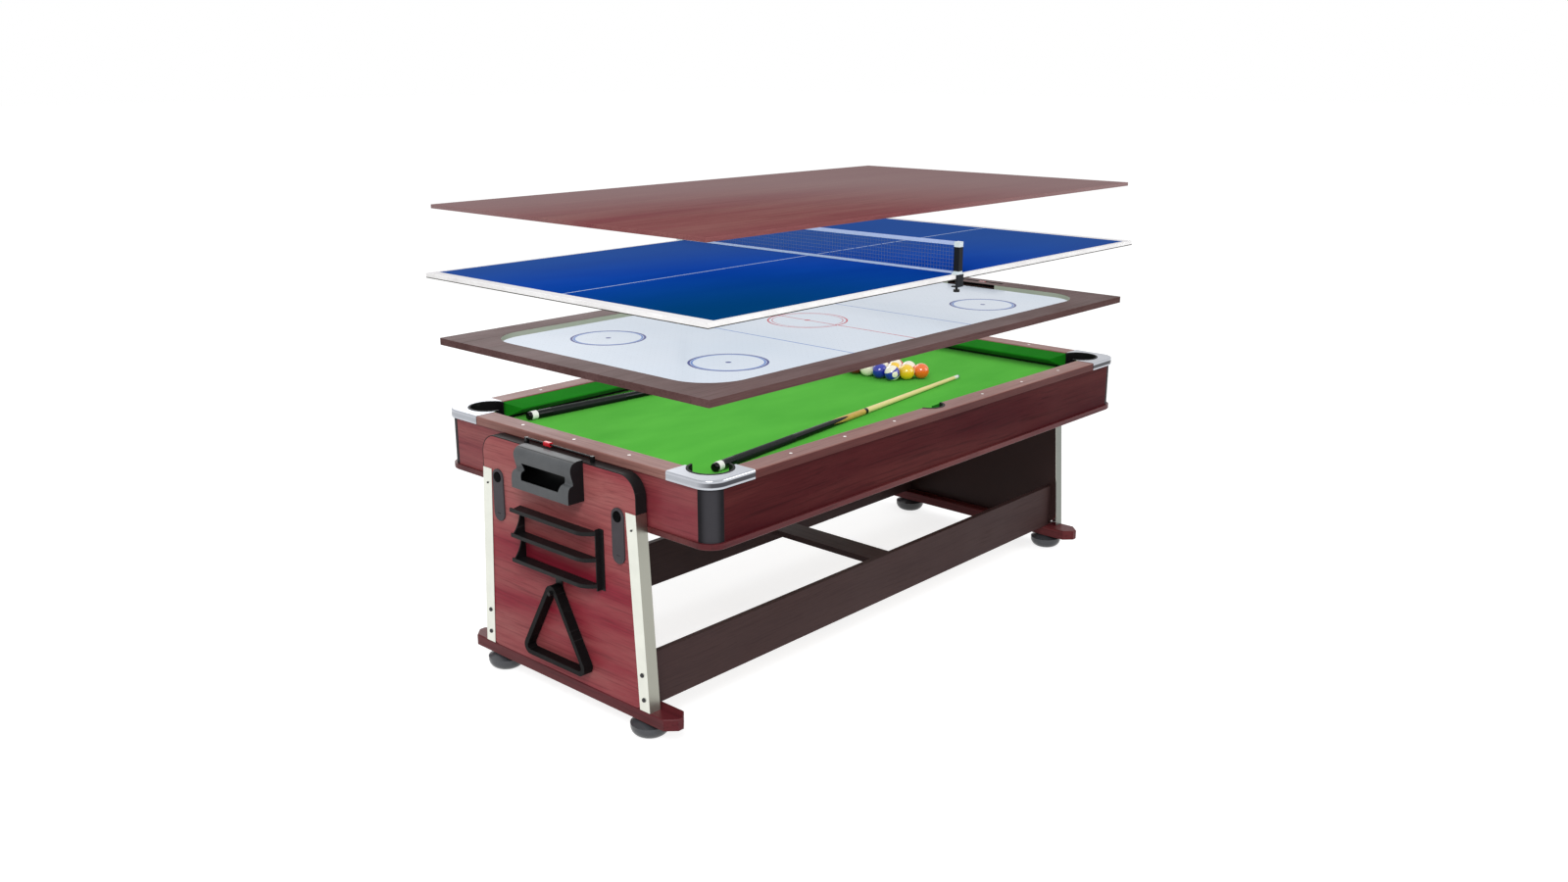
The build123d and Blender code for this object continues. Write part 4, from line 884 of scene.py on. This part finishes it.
def makeBalls(values):
    # Each ball is a sphere (cos u cos v, sin u cos v, sin v) in its own turned frame, in three rows of five
    random = np.random.default_rng(values["seed"])
    radius = values["radius"]
    pitch = 2 * radius + values["gap"]
    u = np.linspace(0, 2 * math.pi, 48, endpoint=False)
    v = np.linspace(-math.pi / 2, math.pi / 2, 25)
    across = np.cos(v)[:, None]
    sphere = np.stack([across * np.cos(u), across * np.sin(u), np.sin(v)[:, None] + 0 * u], axis=-1)
    count = sphere.shape[0] * sphere.shape[1]
    grids, local, tint, striped = [], [], [], []
    spots = [(number, row, place) for row, line in enumerate(values["rows"]) for place, number in enumerate(line)]
    for number, row, place in spots:
        middle = (len(values["rows"][row]) - 1) / 2
        centre = np.array([values["firstRow"] + row * pitch * math.sqrt(3) / 2,
                           values["sideShift"] + (place - middle - row / 2) * pitch,
                           clothTop + values["gap"] + radius])
        turn = np.linalg.qr(random.normal(size=(3, 3)))[0]
        if number in values["poles"]:
            pole = np.array(values["poles"][number]) / np.linalg.norm(values["poles"][number])
            aside = np.cross((0, 0, 1), pole)
            aside /= np.linalg.norm(aside)
            turn = np.stack([aside, np.cross(pole, aside), pole], axis=1)
        turn *= np.sign(np.linalg.det(turn))
        grids.append((centre + radius * sphere, False, True))
        local.append(sphere.reshape(-1, 3) @ turn)
        tint.append(np.tile(tone(*values["tones"][number - 1]), (count, 1)))
        striped.append(np.full(count, float(8 < number < 16)))
    marks = {"ballLocal": local, "ballTint": tint, "ballStriped": striped}
    marks = {name: np.concatenate(parts) for name, parts in marks.items()}
    addPiece("ball_set", grids, makeBallFinish(), "ball_rack", marks, replaced=("object_balls",))


makeBalls(ballSet)
print("balls made")


# Playing cloth on the bed and on the cushions
clothTones = {  # light, deep and fibre ends
    "bed": ((82, 180, 54), (70, 168, 44), (108, 200, 80)),
    # The cushions' cloth is the bed's cloth, darkened as painted shade
    "cushion": ((22, 122, 20), (14, 104, 14), (52, 150, 44)),
}


def makeCloth(name, tones):
    # Green wool cloth: two greens in slow sweeps, light fibre ends, and a soft sheen
    material, tree, shader = newMaterial(name, Sheen_Weight=0.04, Sheen_Roughness=0.6, Specular_IOR_Level=0.04)
    light, deep, ends = toneList(clothTones[tones])
    nap = useGroup(clothNap, Place=objectPlace(tree))
    colour = blend(spread(nap["Fibre"], 0.55, 0.8, 0.0, 0.3), blend(nap["Tint"], light, deep), ends)
    feed(shader, colour, spread(nap["Fibre"], 0.3, 0.7, 0.85, 0.95), nap["Height"], 0.3, 0.0006)
    return material


playingCloth = makeCloth("playingCloth", "bed")
shadedCushionCloth = makeCloth("shadedCushionCloth", "cushion")
bedCloth = {"halfLength": 1.035, "halfWidth": 0.570, "thickness": 0.0015, "cornerX": 0.965, "cornerY": 0.500,
            "cornerRadius": 0.0708, "sideY": 0.520, "sideRadius": 0.054, "roll": 0.0012}


def arcPoints(centreX, centreY, radius, start, stop, count):
    # Points of an arc: centre + radius * (cos a, sin a), for angles in degrees
    angle = np.radians(np.linspace(start, stop, count))
    return np.stack([centreX + radius * np.cos(angle), centreY + radius * np.sin(angle)], axis=1)


def bedOutline(values):
    # The bed's outline, anticlockwise from the front right: notched corners and a round bite at each middle pocket
    halfX, halfY = values["halfLength"], values["halfWidth"]
    sideY, radius = values["sideY"], values["sideRadius"]
    lean = math.degrees(math.acos((halfY - sideY) / radius))
    bite = arcPoints(0, -sideY, radius, -90 - lean, -90 - lean - (360 - 2 * lean), 40)
    x, y, radius = values["cornerX"], values["cornerY"], values["cornerRadius"]
    low = math.degrees(math.asin(min(1, (halfY - y) / radius)))
    high = math.degrees(math.asin(min(1, (halfX - x) / radius)))
    corner = arcPoints(x, -y, radius, 180 + low, 90 - high, 24)
    quarter = np.concatenate([bite[len(bite) // 2:], corner])
    half = np.concatenate([quarter, (quarter * (1, -1))[::-1]])
    return np.concatenate([half, half * (-1, -1)])


def makeBedCloth(values):
    # The outline carried inwards along a rolled edge: down its side, round the roll, then flat to the middle
    line = bedOutline(values)
    line = line[np.linalg.norm(line - np.roll(line, 1, axis=0), axis=1) > 1e-7]
    tangent = np.roll(line, -1, axis=0) - np.roll(line, 1, axis=0)
    tangent /= np.linalg.norm(tangent, axis=1)[:, None]
    inward = np.stack([-tangent[:, 1], tangent[:, 0]], axis=1)
    roll, under = values["roll"], clothTop - values["thickness"]
    rows = [(roll, under), (0.0, under + 0.0002), (0.0, clothTop - roll)]
    for angle in np.linspace(0.3, math.pi / 2, 4):
        rows.append((roll * (1 - math.cos(angle)), clothTop - roll * (1 - math.sin(angle))))
    count = len(line)
    grid = np.stack([np.concatenate([line + inward * inset, np.full((count, 1), height)], axis=1)
                     for inset, height in rows])
    faces = gridFaces(len(rows), count, False, True).tolist()
    faces.append(list(range(count)))
    faces.append(list(range((len(rows) - 1) * count, len(rows) * count)))
    mesh = bpy.data.meshes.new("playing_cloth")
    mesh.from_pydata(grid.reshape(-1, 3).tolist(), [], faces)
    cleanMesh(mesh)
    piece = placePiece("playing_cloth", mesh, playingCloth, "table", ("bed_cloth",))


makeBedCloth(bedCloth)

cushionShape = {"depth": 0.045, "noseX": 0.948, "noseY": 0.483, "railX": 0.993, "railY": 0.528,
                "cornerMouth": 0.138, "sideMouth": 0.132, "sideBack": 0.108, "round": 0.006,
                "section": [(0.0, 0.010), (0.012, 0.010), (0.045, 0.031), (0.045, 0.036), (0.0, 0.057)]}


def roundedSection(section, radius):
    # Each inner corner becomes a short curve between points a radius away on its two sides
    points = np.array(section, float)
    line = [points[0]]
    for before, corner, after in zip(points[:-2], points[1:-1], points[2:]):
        sides = [(side, np.linalg.norm(side)) for side in (before - corner, after - corner)]
        reach = min(radius, *(0.45 * length for side, length in sides))
        first, last = (corner + side / length * reach for side, length in sides)
        share = np.linspace(0, 1, 6)[:, None]
        line.extend((1 - share) ** 2 * first + 2 * share * (1 - share) * corner + share ** 2 * last)
    line.append(points[-1])
    return np.array(line)


def endCap(ring):
    # A fan from a closed ring to its middle
    return np.stack([ring, np.broadcast_to(ring.mean(axis=0), ring.shape)]), False, True


def makeCushions(values):
    # The rounded section carried along each rail; where it stops depends on its depth, so that the ends are mitred
    section = roundedSection(values["section"], values["round"])
    depth, height = section[:, 0], section[:, 1] + clothTop
    cut = values["cornerMouth"] / math.sqrt(2)
    deepShare = depth / values["depth"]
    lengthened = values["depth"] * (1 - deepShare)
    reach = values["noseY"] - cut + lengthened
    outer = values["noseX"] - cut + lengthened
    inner = values["sideBack"] / 2 + (values["sideMouth"] - values["sideBack"]) / 2 * deepShare
    share = np.concatenate([[0, 0.002], np.linspace(0.01, 0.99, 40), [0.998, 1]])
    grids = []
    for along, sign, first, last in [(along, sign, first, last) for sign in (-1, 1) for along, first, last in (
            ("Y", -reach, reach), ("X", inner, outer), ("X", -outer, -inner))]:
        run = first[:, None] + (last - first)[:, None] * share
        out = (values["railY"] if along == "X" else values["railX"]) - depth
        across = sign * np.broadcast_to(out[:, None], run.shape)
        tall = np.broadcast_to(height[:, None], run.shape)
        body = np.stack([run, across, tall] if along == "X" else [across, run, tall], axis=-1)
        grids += [(body, True, False), endCap(body[:, 0]), endCap(body[:, -1])]
    addPiece("cushion_cloth", grids, shadedCushionCloth, "table", replaced=("cushions",), sharpAngle=50)


makeCushions(cushionShape)
print("cloth made")


# Net
netShape = {"halfSpan": 0.604, "foot": 1.244, "mesh": 0.084, "tape": 0.012, "footTape": 0.007,
            "tapeThickness": 0.003, "sag": 0.0015, "ripple": 0.0003, "pitch": 0.0115, "cord": 0.0009,
            "threadTones": ((40, 60, 120), (90, 108, 160)), "tapeTones": ((140, 160, 214), (184, 198, 232))}


def makeNetCloth(values):
    # Netting seen through: opaque near whole multiples of the pitch across and up, clear between them
    material, tree, shader = newMaterial("netThread", Roughness=0.7)
    place = objectPlace(tree)
    half = values["cord"] / values["pitch"] / 2
    lines = []
    for value in split(place)[1:]:
        cell = calc("FRACT", calc("DIVIDE", plus(value, 2.0), values["pitch"]))
        lines.append(step(absolute(minus(cell, 0.5)), half + 0.02, -0.02))
    tree.links.new(larger(*lines), shader.inputs["Alpha"])
    fuzz = noise(place, 800.0, 2.0)
    feed(shader, blend(fuzz, *toneList(values["threadTones"])), None, fuzz, 0.2, 0.0003)
    return material


def makeTapeCloth(values):
    # Cotton tape: crossed fine threads
    material, tree, shader = newMaterial("netTape", Roughness=0.8, Sheen_Weight=0.15)
    x, y, z = split(objectPlace(tree))
    weave = makeWeave(y, z, 7000.0, 9000.0)
    colour = blend(spread(weave, -1.0, 1.0), *toneList(values["tapeTones"]))
    feed(shader, colour, None, weave, 0.3, 0.0004)
    return material


def makeNet(values):
    # The netting hangs as z = straight line - sag * (1 - (y / half span)^2); its tapes follow the same curve
    y = np.linspace(-values["halfSpan"], values["halfSpan"], 81)
    foot = values["foot"] + 0 * y
    top = foot + values["mesh"] - values["sag"] * (1 - (y / values["halfSpan"]) ** 2)
    share = np.linspace(0, 1, 9)[:, None]
    z = foot + (top - foot) * share
    ripple = values["ripple"] * np.sin(40 * y) * np.sin(math.pi * share)
    sheet = np.stack([ripple + 0 * z, y + 0 * z, z], axis=-1)
    half, footTall = values["tapeThickness"] / 2, values["footTape"]
    section = [(-half, 0.0), (-half, 1.0), (-half * 0.5, 1.06), (half * 0.5, 1.06), (half, 1.0), (half, 0.0)]
    tapeCloth = makeTapeCloth(values)
    for name, low, tall in (("net_top_tape", top, values["tape"]),
                            ("net_foot_tape", foot - footTall / 2, footTall)):
        grid = np.stack([np.stack([across + 0 * y, y, low + tall * lift * 0.94], axis=1)
                         for across, lift in section])
        grids = [(grid, True, False), endCap(grid[:, 0]), endCap(grid[:, -1])]
        addPiece(name, grids, tapeCloth, "tennis_top", sharpAngle=60)
    netCloth = makeNetCloth(values)
    net = addPiece("net_mesh", [(sheet, False, False)], netCloth, "tennis_top", replaced=("net",))


makeNet(netShape)
print("net made")
